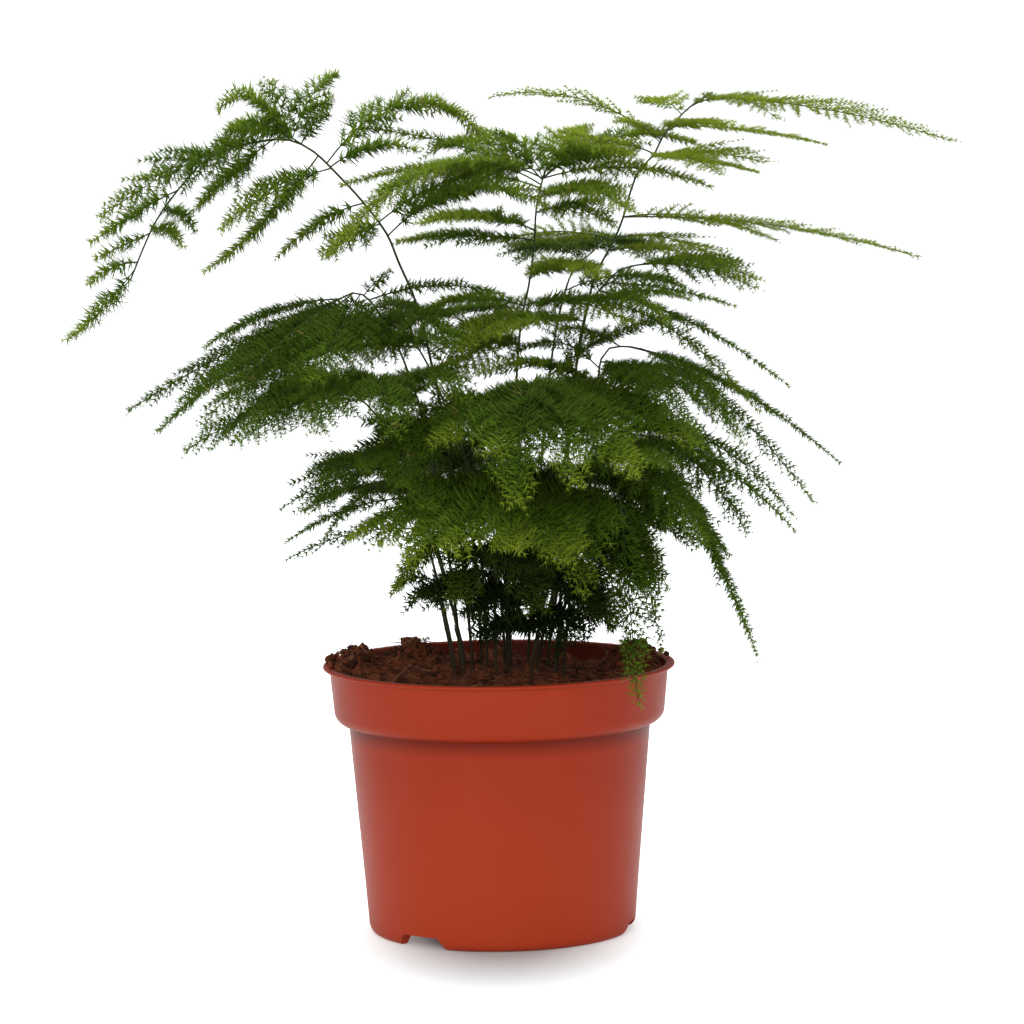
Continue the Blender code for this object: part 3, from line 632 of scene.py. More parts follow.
plastic = Finish("pot_plastic")
tree = plastic.tree
level = plastic.level()
colour = plastic.group(MOTTLE, "Color", Scale=28.0, Softness=0.3, First=TERRACOTTA, Second=TERRACOTTA_DEEP)
scuffs = plastic.group(STREAKS, "Mask", Stretch=(1.0, 1.0, 0.25), Scale=90.0)
colour = plastic.tint(colour, SCUFF, scuffs, SCUFF_EDGE, (0, SCUFF_SHARE))
# Painted shade: a dark band round the crease under the collar, where the collar shades the body.
crease_shaded = plastic.tint(colour, CREASE_SHADE_COLOUR, level, CREASE_SHADE_BELOW, (0, CREASE_SHADE_SHARE))
colour = plastic.tint(crease_shaded, colour, level, CREASE_SHADE_ABOVE)
# Painted light: the wall is paler towards the foot, to even out the lamps' shading there.
colour = plastic.tint(colour, FOOT_PAINTED_LIGHT, level, (0, FOOT_LIGHT_TO), (FOOT_LIGHT_SHARE, 0))
# Painted shade: the wall's inside is painted darker, as little light comes there.
upright_radius = maths(tree, "MULTIPLY_ADD", level, INSIDE_SLOPE, plastic.distance((1, 1, 0)))
within = spread(tree, upright_radius, *INSIDE_RADIUS, INSIDE_SHADE_SHARE, 0)
inside = maths(tree, "MULTIPLY", within, spread(tree, level, *INSIDE_FROM))
clouds = plastic.group(MOTTLE, "Mask", Scale=60.0, Softness=0.3)
plastic.set(Base_Color=mix(tree, inside, colour, INSIDE_SHADE), Roughness=spread(tree, clouds, 0, 1, *SATIN))
plastic.set(Specular_IOR_Level=0.12)
plastic.grain(strength=0.12, depth=0.0002, Scale=1500.0, Coarse=0.35)
pot.data.materials.append(plastic.material)
finish_piece(pot, "pot", "pot")

# %% [markdown]
# ## The soil
#
# The mix is damp coir and peat. It fills the pot to a few millimetres below the rim, and lies in heaps where
# it was pushed up round the young plant. One bed gives its body: a square grid is pressed into a disc,
# lifted to the level of the heaps, and roughened with noise at three sizes. Its edge is then pulled down the
# pot's inner wall and closed under it. Crumbs and fibres lie on top as pieces of their own, because it is
# their shadows and their different colours that make soil look like soil.

# %% Soil level
SOIL_LEVEL = 86.0
SOIL_EDGE_LEVEL = 88.5
SOIL_HEAPS = (
    (-49, 9, 7.5, 6.0),
    (-30, 25, 8.5, 7.0),
    (-34, -10, 3.0, 12.0),
    (46, 16, 10.0, 6.5),
    (2, 2, 3.5, 18.0),
    (10, -40, 3.0, 16.0),
    (24, 34, -3.0, 12.0),
)
SOIL_LUMP = 0.9
SOIL_WAVES = (3.1, 2.7, 5.3)
GAP = 0.3
BED_CELLS = 85
LUMP_SIZES = ((0.16, 1.3), (0.45, 0.7), (1.1, 0.3))
SOIL_FLOOR = FLOOR_UNDER + FLOOR_THICK + GAP
BED_LEVELS = (84.0, COLLAR_LOW, BODY_TOP - 0.4, SOIL_FLOOR + 1.6, SOIL_FLOOR)
BED_SLACK = 0.15
BED_CORNER = 1.2


def soil_height(x, y):
    """Height of the soil in millimetres at a place given in millimetres."""
    height = SOIL_LEVEL + (SOIL_EDGE_LEVEL - SOIL_LEVEL) * (math.hypot(x, y) / LIP_RADIUS) ** 4
    for heap_x, heap_y, tall, spread_out in SOIL_HEAPS:
        height += tall * math.exp(-((x - heap_x) ** 2 + (y - heap_y) ** 2) / (2 * spread_out**2))
    wide, deep, slanted = SOIL_WAVES
    return height + SOIL_LUMP * (math.sin(x / wide + 1) * math.cos(y / deep) + math.sin((x - y) / slanted))


def lumpy_height(x, y):
    """The soil's level with the noise of its lumps on it."""
    lumps = sum(tall * noise.noise((x * often, y * often, 5 * often)) for often, tall in LUMP_SIZES)
    return soil_height(x, y) + lumps


# %% Soil bed
clear_selection()
bpy.ops.mesh.primitive_grid_add(x_subdivisions=BED_CELLS, y_subdivisions=BED_CELLS, size=2)
bed = made("soil_bed")
bed_radius = inner_radius(SOIL_EDGE_LEVEL) - GAP
for vert in bed.data.vertices:
    u, v, _ = vert.co
    x = u * math.sqrt(1 - v * v / 2) * bed_radius
    y = v * math.sqrt(1 - u * u / 2) * bed_radius
    vert.co = Vector((x, y, lumpy_height(x, y))) * MM
edit_all()
bpy.ops.mesh.region_to_loop()
radius = bed_radius
for height in BED_LEVELS:
    next_radius = inner_radius(height) - GAP - (BED_CORNER if height == SOIL_FLOOR else BED_SLACK)
    bpy.ops.mesh.extrude_region_move()
    bpy.ops.transform.resize(
        value=(next_radius / radius, next_radius / radius, 0), center_override=(0, 0, height * MM)
    )
    radius = next_radius
bpy.ops.mesh.edge_face_add()
close_edit()
print("bed", len(bed.data.polygons), "faces")

# %% Peat
PEAT_DARK = (0.038, 0.0125, 0.0060)
PEAT_RED = (0.195, 0.050, 0.019)
PEAT_PALE = (0.25, 0.115, 0.055)
SPECK_EDGE = (0.75, 1.0)
SPECK_SHARE = 0.5

peat = Finish("peat")
colour = peat.group(MOTTLE, "Color", Scale=260.0, Softness=0.15, First=PEAT_DARK, Second=PEAT_RED)
specks = peat.group(MOTTLE, "Mask", Scale=900.0, Softness=0.12)
colour = peat.tint(colour, PEAT_PALE, specks, SPECK_EDGE, (0, SPECK_SHARE))
peat.set(Base_Color=colour, Roughness=0.95, Specular_IOR_Level=0.15)
peat.grain(strength=0.9, depth=0.0006, Scale=1400.0, Coarse=0.5)
bed.data.materials.append(peat.material)
pick(bed)
bpy.ops.object.shade_smooth_by_angle(angle=math.radians(60))
finish_piece(bed, "soil", "soil")

# %% [markdown]
# A crumb is a cube, divided once, rounded and shaken out of true. Five different ones are enough, because
# each copy is turned, stretched and sized for itself. Crumbs lie thick on the heaps and thinner between,
# and a few have rolled onto the pot's lip where a heap spills over.

# %% Crumb shapes
CRUMB_KINDS = 5
CRUMB_ROUND = 0.4
CRUMB_ROUGH = 0.26


def crumb(seed):
    """A small rough lump about one unit across."""
    clear_selection()
    bpy.ops.mesh.primitive_cube_add(size=1, location=(0, 0, 0))
    lump = made("crumb")
    edit_all()
    bpy.ops.mesh.subdivide(number_cuts=1)
    bpy.ops.transform.tosphere(value=CRUMB_ROUND)
    bpy.ops.transform.vertex_random(offset=CRUMB_ROUGH, seed=seed)
    bpy.ops.object.mode_set(mode="OBJECT")
    return unit_of(lump)


CRUMBS = [crumb(seed) for seed in range(CRUMB_KINDS)]
print("a crumb has", len(CRUMBS[0][1]), "triangles")

# %% Scatter the crumbs
CRUMB_COUNT = 850
CRUMB_ACROSS = (0.6, 2.7)
CRUMB_STRETCH = (0.6, 1.15)
CRUMB_RAISED = 0.2
CRUMB_MARGIN = 1.6
LIP_CRUMB_ACROSS = (1.6, 2.6)
TALL_HEAP = 4
SOIL_SEED = 11

rng = np.random.default_rng(SOIL_SEED)


def turned_axes(count, rng, sizes):
    """Axes of random direction for copies that lie any way up. sizes holds three lengths for each."""
    quaternions = rng.normal(size=(count, 4))
    quaternions /= np.linalg.norm(quaternions, axis=1)[:, None]
    matrices = np.array([Quaternion(q).to_matrix() for q in quaternions])
    return matrices.transpose(0, 2, 1) * sizes[:, :, None]


def soil_spots(count, rng, reach):
    """Places on the soil in metres. Two in five lie near a heap, the rest anywhere."""
    spots = []
    heaps = [heap for heap in SOIL_HEAPS if heap[2] > TALL_HEAP]
    while len(spots) < count:
        if len(spots) % 5 < 2:
            heap_x, heap_y, _, spread_out = heaps[rng.integers(len(heaps))]
            x, y = rng.normal((heap_x, heap_y), spread_out)
        else:
            angle, out = rng.uniform(0, 2 * math.pi), reach * math.sqrt(rng.uniform())
            x, y = out * math.cos(angle), out * math.sin(angle)
        if math.hypot(x, y) < reach:
            spots.append((x, y, lumpy_height(x, y)))
    return np.array(spots) * MM


def crumb_set(unit, spots, rng, smallest, largest):
    """Copies of one crumb on the given spots, small ones by far the most common."""
    across = smallest + (largest - smallest) * rng.uniform(size=len(spots)) ** 3
    sizes = across[:, None] * rng.uniform(*CRUMB_STRETCH, size=(len(spots), 3)) * MM
    raised = spots + np.array([0, 0, CRUMB_RAISED * MM]) * across[:, None]
    points, triangles = copies(unit, raised, turned_axes(len(spots), rng, sizes))
    return points, triangles, {"chance": np.repeat(rng.uniform(size=len(spots)), len(unit[0]))}


LIP_CRUMBS = (
    (-57.4, -4, 92.7), (-58.3, 3, 92.5), (-56.8, 8, 93.2), (-57.8, 11, 92.9), (-55.6, 14, 93.0),
    (-58.4, 7, 92.6), (-57.0, -9, 92.6), (-53.6, 21, 93.0), (57.4, 9, 92.8), (55.8, 16, 93.1),
)
crumbs = []
for kind, unit in enumerate(CRUMBS):
    spots = soil_spots(CRUMB_COUNT // CRUMB_KINDS, rng, bed_radius - CRUMB_MARGIN)
    on_lip = np.array(LIP_CRUMBS[kind::CRUMB_KINDS]) * MM
    crumbs.append(crumb_set(unit, spots, rng, *CRUMB_ACROSS))
    crumbs.append(crumb_set(unit, on_lip, rng, *LIP_CRUMB_ACROSS))
print("crumbs:", sum(len(triangles) for _, triangles, _ in crumbs), "triangles")

# %% Crumb finish
CRUMB_DARK = (0.040, 0.0135, 0.0065)
CRUMB_RED = (0.220, 0.056, 0.021)
RED_CHANCE = (0.2, 0.9)
BARK = (0.20, 0.095, 0.045)
BARK_CHANCE = (0.93, 0.95)
BARK_SHARE = 0.8
DAMP_SHARE = 0.45

crumb_finish = Finish("soil_crumbs")
chance = crumb_finish.attribute("chance")
damp = crumb_finish.group(MOTTLE, "Mask", Scale=1100.0, Softness=0.15)
colour = crumb_finish.tint(CRUMB_DARK, CRUMB_RED, chance, RED_CHANCE)
colour = crumb_finish.tint(colour, BARK, chance, BARK_CHANCE, (0, BARK_SHARE))
colour = crumb_finish.tint(colour, CRUMB_DARK, damp, shares=(0, DAMP_SHARE))
crumb_finish.set(Base_Color=colour, Roughness=0.93, Specular_IOR_Level=0.15)
crumb_finish.grain(strength=0.8, depth=0.0003, Scale=2200.0, Coarse=0.4)
finish_piece(mesh_piece("soil_crumbs", crumbs, crumb_finish.material), "soil")

# %% [markdown]
# Coir is the hair of the coconut husk, so the mix is full of bent fibres. One is a triangle, pulled out six
# times and turned a little each time, ever thinner. Most lie dark in the soil. Some are dry and pale, and
# those are placed one by one where they catch the light.

# %% Fibre shapes
FIBRE_TAPER = 0.82


def fibre(bends, thin):
    """A tapering hair about one unit long that leaves along X and turns by the given angles."""
    clear_selection()
    bpy.ops.mesh.primitive_circle_add(
        vertices=3, radius=thin, fill_type="NGON", location=(-0.5, 0, 0), rotation=(0, math.pi / 2, 0)
    )
    hair = made("fibre")
    bpy.ops.object.transform_apply(location=True, rotation=True)
    edit_all()
    heading, place = 0.0, Vector((-0.5, 0, 0))
    for bend in bends:
        heading += math.radians(bend)
        step = Vector((math.cos(heading), math.sin(heading), 0)) / len(bends)
        bpy.ops.mesh.extrude_region_move()
        bpy.ops.transform.translate(value=step)
        place += step
        bpy.ops.transform.rotate(value=-math.radians(bend), orient_axis="Z", center_override=place)
        bpy.ops.transform.resize(value=(FIBRE_TAPER,) * 3, center_override=place)
    close_edit()
    return unit_of(hair)


FIBRES = [
    fibre((0, 14, 22, 18, 8, -6), 0.013),
    fibre((0, -20, -8, 16, 26, 20), 0.013),
    fibre((0, 6, -10, -18, 10, 4), 0.011),
    fibre((0, 30, 34, 28, 24, 12), 0.014),
]

# %% Lay the fibres
FIBRE_COUNT = 1400
FIBRE_LENGTHS = (4, 13)
FIBRE_RAISED = (0.0, 1.1)
FIBRE_SLOPES = (-0.1, 0.75)
FIBRE_MARGIN = 4.5
LARGEST_LOOSE_CHANCE = 0.9


def lying_axes(headings, slopes, lengths):
    """Axes of hairs that lie near the level: along their heading, raised by a slope, of a given length."""
    flat = np.cos(slopes)
    along = np.stack([np.cos(headings) * flat, np.sin(headings) * flat, np.sin(slopes)], 1)
    across = np.stack([-np.sin(headings), np.cos(headings), np.zeros(len(headings))], 1)
    return np.stack([along, across, np.cross(along, across)], 1) * lengths[:, None, None]


fibres = []
for unit in FIBRES:
    count = FIBRE_COUNT // len(FIBRES)
    spots = soil_spots(count, rng, bed_radius - FIBRE_MARGIN)
    lengths = rng.uniform(*FIBRE_LENGTHS, count) * MM
    spots[:, 2] += rng.uniform(*FIBRE_RAISED, count) * MM
    axes = lying_axes(rng.uniform(0, 2 * math.pi, count), rng.uniform(*FIBRE_SLOPES, count), lengths)
    points, triangles = copies(unit, spots, axes)
    chance = np.repeat(rng.uniform(0, LARGEST_LOOSE_CHANCE, count), len(unit[0]))
    fibres.append((points, triangles, {"chance": chance}))

# Fibres that the eye picks out: which kind, place, heading and slope in degrees, length, paleness.
PLACED_FIBRES = (
    (0, (-20, -45, 89.5), -60, 15, 9, 0.95), (1, (-10, -47, 90.5), -30, 12, 13, 1.0),
    (2, (-34, -38, 93.0), 50, 35, 14, 0.92), (3, (10, -48, 89.5), 10, 10, 8, 0.97),
    (0, (30, -44, 90.0), 160, 20, 7, 1.0), (1, (42, -22, 90.5), 200, 15, 12, 0.93),
    (2, (-47, 4, 98.0), 120, 30, 9, 0.92), (1, (-30, 18, 98.5), 30, 30, 12, 0.94),
    (3, (0, -50, 90.0), 80, 20, 7, 0.9), (0, (38, 8, 95.0), 70, 30, 10, 0.9),
)
for kind, place, heading, slope, length, paleness in PLACED_FIBRES:
    axes = lying_axes(*(np.array([v]) for v in (math.radians(heading), math.radians(slope), length * MM)))
    points, triangles = copies(FIBRES[kind], np.array([place]) * MM, axes)
    fibres.append((points, triangles, {"chance": np.full(len(points), paleness)}))
print("fibres:", sum(len(triangles) for _, triangles, _ in fibres), "triangles")

# %% Fibre finish
FIBRE_DARK = (0.045, 0.014, 0.007)
FIBRE_RED = (0.36, 0.105, 0.038)
FIBRE_RED_CHANCE = (0.2, 0.85)
FIBRE_PALE = (0.52, 0.36, 0.22)
FIBRE_PALE_CHANCE = (0.84, 0.96)
FIBRE_MARKS = 0.35

coir = Finish("coir_fibre")
chance = coir.attribute("chance")
marks = coir.group(STREAKS, "Mask", Stretch=(0.3, 0.3, 1.0), Scale=1500.0)
colour = coir.tint(FIBRE_DARK, FIBRE_RED, chance, FIBRE_RED_CHANCE)
colour = coir.tint(colour, FIBRE_PALE, chance, FIBRE_PALE_CHANCE)
colour = coir.tint(colour, FIBRE_DARK, marks, shares=(0, FIBRE_MARKS))
coir.set(Base_Color=colour, Roughness=0.75, Specular_IOR_Level=0.3)
finish_piece(mesh_piece("coir_fibres", fibres, coir.material), "soil")

# %% [markdown]
# ## The fern: how it grows
#
# Each of the 21 wiry stems leaves the soil in the middle, rises, and arches over. Flat plumes leave it in its
# upper part, each to its own side. The table below is read off the photo for what shows, and carried on in
# the same way round the back. It is the plant's skeleton: a stem's root, how far its plumes turn their upper
# faces to the front, the points that it passes, and for each plume the share of the stem where it leaves,
# its tip, half its width and how far it bows up. Plumes that would run into each other are swung apart.

# %% Growth table
STEM_BURIED = 15.0
COLLAR_ABOVE_SOIL = 3.0
STEM_STEP = 20.0
LINE_STEP = 2.0
BARE_SHARE = 0.1
WIDTH_FROM = BARE_SHARE * 0.6
WIDEST_SHARE = 0.3
WIDENING = 0.7
NARROWING = 1.15
TIP_WIDTH_SHARE = 0.16
LAST_FOOT = 0.985
PLUME_ROLL = 10.0
LINE_CLEARANCE = 3.4
SPACE_CUBE = 4.0
FOOT_REACH = 5.0
FUSED_REACH = 14.0
SWING_STEP = 3.0
SWING_TRIES = 20
ALONG_SPAN = 0.03
GROWTH_SEED = 7

STEMS = {
    "stem_upper_left": (
        (-9, 5), 20,
        ((-15, 4, 158), (-21, 3, 192), (-26, 2, 214), (-32, 1, 229), (-36, 0, 239), (-44, -1, 250),
         (-52, -2, 259), (-60, -3, 267), (-68, -4, 271), (-77, -5, 271), (-86, -7, 269), (-96, -8, 265),
         (-103, -10, 258), (-111, -12, 248), (-116, -13, 239), (-122, -14, 225)),
        ((0.435, (-41, -34, 198), 11, 5), (0.572, (18, -22, 249), 13, 11), (0.588, (-55, -30, 233), 8, 2),
         (0.591, (10, 30, 260), 11, 5), (0.619, (-73, 12, 231), 5, 3), (0.674, (-90, -30, 243), 9, 3),
         (0.676, (-26, -18, 268), 6, 4), (0.682, (-2, 24, 270), 10, 16), (0.695, (-98, 16, 226), 5, -3),
         (0.716, (-96, -12, 264), 8, 8), (0.719, (-55, 34, 284), 4, 1), (0.731, (-53, 16, 292), 8, 5),
         (0.732, (-74, 2, 290), 8, 1), (0.733, (-91, -14, 282), 7, 9), (0.743, (-89, 28, 274), 7, 4),
         (0.746, (-131, -32, 248), 11, 5), (0.753, (-100, 20, 248), 9, 1), (0.882, (-136, 8, 237), 5, 1),
         (0.911, (-102, 22, 239), 4, 3), (0.937, (-103, -40, 238), 4, 3), (0.941, (-132, -30, 234), 4, 0),
         (0.977, (-137, 4, 223), 4, 2), (0.999, (-147, 30, 202), 4, -2)),
    ),
    "stem_upper_right": (
        (17, 7), 9,
        ((20, 7, 125), (26, 6, 181), (33, 6, 218), (36, 6, 226), (41, 6, 235), (44, 6, 242), (47, 5, 252),
         (50, 5, 259), (55, 5, 264), (58, 5, 270), (65, 4, 278), (70, 3, 282), (75, 3, 285)),
        ((0.707, (74, -34, 229), 12, 3), (0.724, (4, 34, 234), 14, 3), (0.728, (79, 42, 225), 14, 4),
         (0.762, (142, -20, 230), 10, 4), (0.762, (97, 30, 233), 10, 4), (0.837, (30, 50, 262), 12, 3),
         (0.864, (74, -72, 261), 10, 3), (0.868, (90, -38, 263), 13, 2), (0.868, (92, 56, 255), 9, 1),
         (0.87, (23, -20, 269), 13, 3), (0.889, (41, -44, 277), 5, 3), (0.894, (0, 10, 284), 8, 7),
         (0.911, (75, -70, 277), 9, 2), (0.919, (115, 42, 265), 9, 2), (0.942, (53, 44, 280), 9, 3),
         (0.96, (94, -50, 278), 12, 5), (1, (149, -70, 271), 12, 3)),
    ),
    "stem_middle": (
        (4, 9), 8,
        ((4, 10, 140), (7, 10, 183), (9, 10, 206), (12, 10, 220), (14, 9, 234), (15, 9, 247), (18, 9, 259)),
        ((0.68, (-13, -34, 193), 13, 5), (0.736, (-11, -50, 203), 10, 3), (0.749, (-24, 34, 210), 12, 4),
         (0.751, (44, -40, 211), 12, 4), (0.799, (35, -56, 227), 11, 5), (0.871, (-32, 20, 235), 9, 2),
         (0.889, (-23, -50, 245), 11, 4), (0.921, (40, -30, 242), 9, 4), (0.949, (45, -60, 249), 12, 5),
         (0.967, (-50, -10, 256), 8, 6), (0.973, (-53, -56, 236), 13, 17), (0.982, (-19, 26, 266), 14, 8),
         (0.993, (31, 60, 271), 11, 4), (0.993, (73, -14, 254), 7, 5), (1, (-42, 8, 274), 5, 3),
         (1, (69, 30, 267), 12, 8), (1, (44, -40, 267), 13, 5), (1, (4, 24, 269), 10, 5)),
    ),
    "stem_right_arch": (
        (20, 1), 8,
        ((22, 0, 125), (26, -2, 180), (31, -2, 211), (37, -3, 220), (43, -6, 226), (52, -8, 228)),
        ((0.807, (2, -50, 208), 12, 3), (0.845, (57, -60, 212), 7, 5), (0.845, (68, 56, 211), 6, 4),
         (0.854, (87, -40, 181), 6, 8), (0.878, (100, 18, 184), 5, 5), (0.9, (83, 34, 210), 5, 2),
         (1, (87, -30, 221), 11, 3), (1, (89, -62, 226), 12, 4)),
    ),
    "stem_right_mid": (
        (22, -5), 10,
        ((26, -6, 125), (34, -8, 165), (36, -9, 196), (46, -9, 200), (55, -9, 197)),
        ((0.763, (7, 30, 182), 13, 5), (0.796, (-5, -50, 195), 13, 6), (0.815, (68, 52, 183), 7, 5),
         (0.832, (9, 8, 197), 11, 7), (0.847, (66, -96, 176), 11, 7), (0.91, (22, -30, 208), 10, 3),
         (0.931, (116, -10, 160), 5, 6), (0.957, (81, -78, 173), 8, 5), (0.97, (99, 40, 171), 6, 3),
         (0.995, (105, -48, 151), 7, 6)),
    ),
    "stem_right_low": (
        (19, -11), 10,
        ((23, -13, 115), (32, -18, 146), (36, -22, 168), (46, -25, 172), (53, -26, 170)),
        ((0.761, (53, -90, 168), 15, 6), (0.789, (67, 44, 152), 9, 9), (0.837, (67, -72, 141), 12, 7),
         (0.861, (66, -34, 169), 11, 6), (0.895, (99, -62, 149), 10, 12), (0.933, (103, 32, 132), 7, 7),
         (0.956, (85, 4, 135), 10, 8), (1, (87, -25, 97), 11, 6)),
    ),
    "stem_front_right": (
        (11, -15), 6,
        ((15, -19, 112), (22, -29, 135), (35, -38, 154), (42, -45, 153)),
        ((0.795, (17, -72, 140), 13, 13), (0.816, (58, 12, 115), 7, 11), (0.841, (38, 16, 103), 13, 10),
         (0.88, (27, -84, 127), 12, 10), (0.936, (55, -18, 98), 5, 12), (1, (46, -60, 86), 8, 3)),
    ),
    "stem_front_high": (
        (3, -5), 4,
        ((3, -8, 125), (5, -16, 162), (10, -30, 182), (14, -44, 187)),
        ((0.811, (-21, -46, 179), 14, 7), (0.841, (51, -50, 180), 14, 6), (0.874, (64, -66, 174), 15, 10),
         (0.886, (-16, -78, 176), 15, 7), (0.919, (0, -106, 175), 15, 8), (0.945, (44, -104, 167), 14, 10),
         (0.971, (25, -114, 166), 14, 12), (0.994, (7, -118, 160), 15, 16)),
    ),
    "stem_front_low": (
        (-1, -14), 8,
        ((-1, -18, 112), (0, -30, 140), (3, -44, 154)),
        ((0.621, (-12, -48, 121), 11, 10), (0.666, (13, -58, 119), 12, 10), (0.713, (-34, -34, 123), 8, 9),
         (0.788, (-38, -62, 141), 11, 10), (0.819, (-49, -30, 139), 9, 9), (0.838, (35, -74, 142), 14, 10),
         (0.918, (-29, -84, 138), 12, 8), (0.943, (22, -100, 139), 14, 9),
         (0.973, (-14, -100, 143), 13, 6), (1, (6, -110, 144), 14, 4)),
    ),
    "stem_left_high": (
        (-13, -1), 16,
        ((-16, -3, 125), (-23, -5, 170), (-33, -7, 202), (-44, -11, 219), (-54, -14, 217)),
        ((0.828, (-67, 36, 195), 14, 3), (0.852, (-14, -70, 205), 14, 7), (0.872, (-8, 32, 211), 7, 3),
         (0.89, (-81, 54, 184), 13, 3), (0.914, (2, -28, 220), 6, 4), (0.929, (-35, 4, 226), 3, 1),
         (0.937, (-57, -94, 198), 16, 2), (0.953, (-87, -40, 189), 14, 1), (0.967, (-94, -86, 183), 13, 5),
         (0.975, (-116, 34, 170), 11, 4), (0.984, (-103, -62, 189), 10, 1), (0.992, (-98, 8, 201), 8, 4),
         (0.997, (-122, -30, 183), 9, 2)),
    ),
    "stem_left_mid": (
        (-12, -8), 26,
        ((-16, -10, 115), (-26, -18, 154), (-40, -27, 180), (-51, -35, 190)),
        ((0.794, (-25, -66, 170), 12, 7), (0.832, (-11, -84, 190), 14, 13),
         (0.869, (-80, 28, 179), 12, 11), (0.897, (-33, -108, 182), 15, 13),
         (0.925, (-84, -66, 188), 14, 9), (0.943, (-92, 2, 172), 12, 8), (0.969, (-57, -110, 182), 15, 9),
         (0.991, (-102, -48, 171), 10, 4), (1, (-82, -94, 178), 11, 3)),
    ),
    "stem_left_low": (
        (-15, -6), 14,
        ((-18, -8, 110), (-25, -12, 140), (-32, -16, 156), (-38, -20, 164)),
        ((0.695, (-71, -14, 130), 6, 4), (0.764, (-6, -86, 155), 13, 10), (0.819, (-72, 12, 133), 6, 4),
         (0.88, (-30, -92, 163), 14, 11), (0.914, (-60, 36, 131), 5, 4), (0.937, (-42, -74, 166), 8, 6),
         (0.958, (-72, -30, 149), 5, 3), (0.978, (-55, 24, 147), 4, 2), (0.991, (-58, -52, 160), 5, 3)),
    ),
    "stem_left_sprout": (
        (-16, 2), 6,
        ((-18, 2, 104), (-20, 2, 114), (-22, 1, 121)),
        ((0.80, (-24, -24, 117), 5, 3), (0.90, (-31, 12, 109), 4, 3), (1.0, (-36, -8, 117), 4, 3)),
    ),
    "stem_inner_right": (
        (13, -3), 4,
        ((15, -5, 115), (19, -8, 140), (24, -10, 158)),
        ((0.36, (-2, -24, 104), 11, 4), (0.40, (26, -32, 104), 11, 4), (0.46, (-8, -40, 114), 14, 5),
         (0.54, (38, -16, 106), 7, 4), (0.60, (34, -42, 113), 12, 6),
         (0.66, (4, -58, 132), 14, 6), (0.74, (52, -46, 124), 14, 7), (0.84, (48, 18, 132), 14, 6),
         (0.92, (16, -66, 150), 15, 6), (1.0, (58, -20, 142), 13, 6)),
    ),
    "stem_inner_left": (
        (-4, 3), 4,
        ((-5, 2, 120), (-8, 0, 150), (-12, -3, 170)),
        ((0.44, (-22, -24, 116), 10, 4), (0.52, (14, 32, 114), 12, 5),
         (0.72, (22, -52, 158), 15, 6), (0.84, (-32, 38, 160), 14, 6), (0.92, (20, 40, 172), 14, 6),
         (1.0, (-36, -26, 166), 14, 6)),
    ),
    "stem_back_left_high": (
        (-6, 12), 4,
        ((-8, 14, 130), (-16, 21, 174), (-28, 31, 200), (-40, 41, 208)),
        ((0.66, (-64, 42, 182), 14, 6), (0.78, (0, 92, 200), 16, 6), (0.86, (-90, 48, 186), 13, 5),
         (0.94, (-52, 112, 184), 17, 7), (1.0, (-86, 84, 182), 15, 6)),
    ),
    "stem_back_right_high": (
        (10, 14), 4,
        ((13, 16, 130), (19, 24, 190), (26, 36, 220), (35, 50, 229)),
        ((0.68, (64, 40, 206), 12, 5), (0.78, (-22, 84, 204), 16, 6), (0.86, (66, 78, 214), 13, 5),
         (0.94, (12, 118, 222), 17, 7), (1.0, (52, 116, 222), 16, 6)),
    ),
    "stem_back_right_mid": (
        (17, 12), 4,
        ((21, 14, 118), (32, 22, 160), (45, 33, 184), (56, 43, 189)),
        ((0.66, (22, 80, 172), 13, 7), (0.78, (76, 24, 158), 8, 6), (0.86, (54, 104, 172), 13, 8),
         (0.92, (84, 48, 168), 8, 6), (1.0, (84, 84, 162), 10, 7)),
    ),
    "stem_back_right_low": (
        (14, 17), 4,
        ((18, 21, 110), (29, 32, 138), (40, 43, 152), (48, 51, 153)),
        ((0.66, (72, 22, 128), 12, 7), (0.80, (22, 92, 140), 15, 8), (0.90, (80, 58, 122), 13, 8),
         (1.0, (68, 98, 124), 15, 8)),
    ),
    "stem_back_low": (
        (2, 19), 0,
        ((1, 23, 110), (-2, 35, 140), (-5, 48, 155)),
        ((0.48, (-14, 50, 110), 14, 5), (0.54, (22, 52, 110), 14, 5), (0.66, (36, 66, 146), 14, 7),
         (0.78, (-46, 62, 144), 14, 7), (0.90, (-36, 98, 142), 16, 8),
         (1.0, (2, 118, 136), 17, 9)),
    ),
    "stem_back_left_low": (
        (-12, 11), 4,
        ((-16, 14, 110), (-25, 22, 140), (-35, 29, 155), (-42, 34, 158)),
        ((0.66, (-16, 74, 152), 14, 7), (0.78, (-66, 20, 142), 11, 6), (0.88, (-60, 92, 146), 16, 8),
         (1.0, (-64, 64, 138), 14, 7)),
    ),
}

# %% Room between the plumes


class Space:
    """Points already taken, kept in cubes so that a near one is found quickly."""

    def __init__(self, cube):
        self.cube = cube
        self.cells = {}

    def key(self, point):
        return tuple(math.floor(c / self.cube) for c in point)

    def fill(self, points, owner):
        for point in points:
            self.cells.setdefault(self.key(point), []).append((point, owner))

    def is_clear(self, points, gap, own):
        """True if no point of an owner for which own(owner) is false lies nearer than gap."""
        for point in points:
            i, j, k = self.key(point)
            for cell in ((i + a, j + b, k + c) for a in (-1, 0, 1) for b in (-1, 0, 1) for c in (-1, 0, 1)):
                for other, owner in self.cells.get(cell, ()):
                    if not own(owner) and (point - other).length_squared < gap * gap:
                        return False
        return True


# %% Lines


def curve_through(points, step):
    """Points about a step apart on a smooth curve through the given ones, from the second one on."""
    points = [*points, 2 * points[-1] - points[-2]]
    line = [points[1]]
    for before, start, end, after in zip(points, points[1:], points[2:], points[3:]):
        count = max(1, round((end - start).length / step))
        for n in range(1, count + 1):
            t = n / count
            line.append(
                0.5
                * (
                    2 * start
                    + (end - before) * t
                    + (2 * before - 5 * start + 4 * end - after) * t**2
                    + (3 * start - before - 3 * end + after) * t**3
                )
            )
    return line


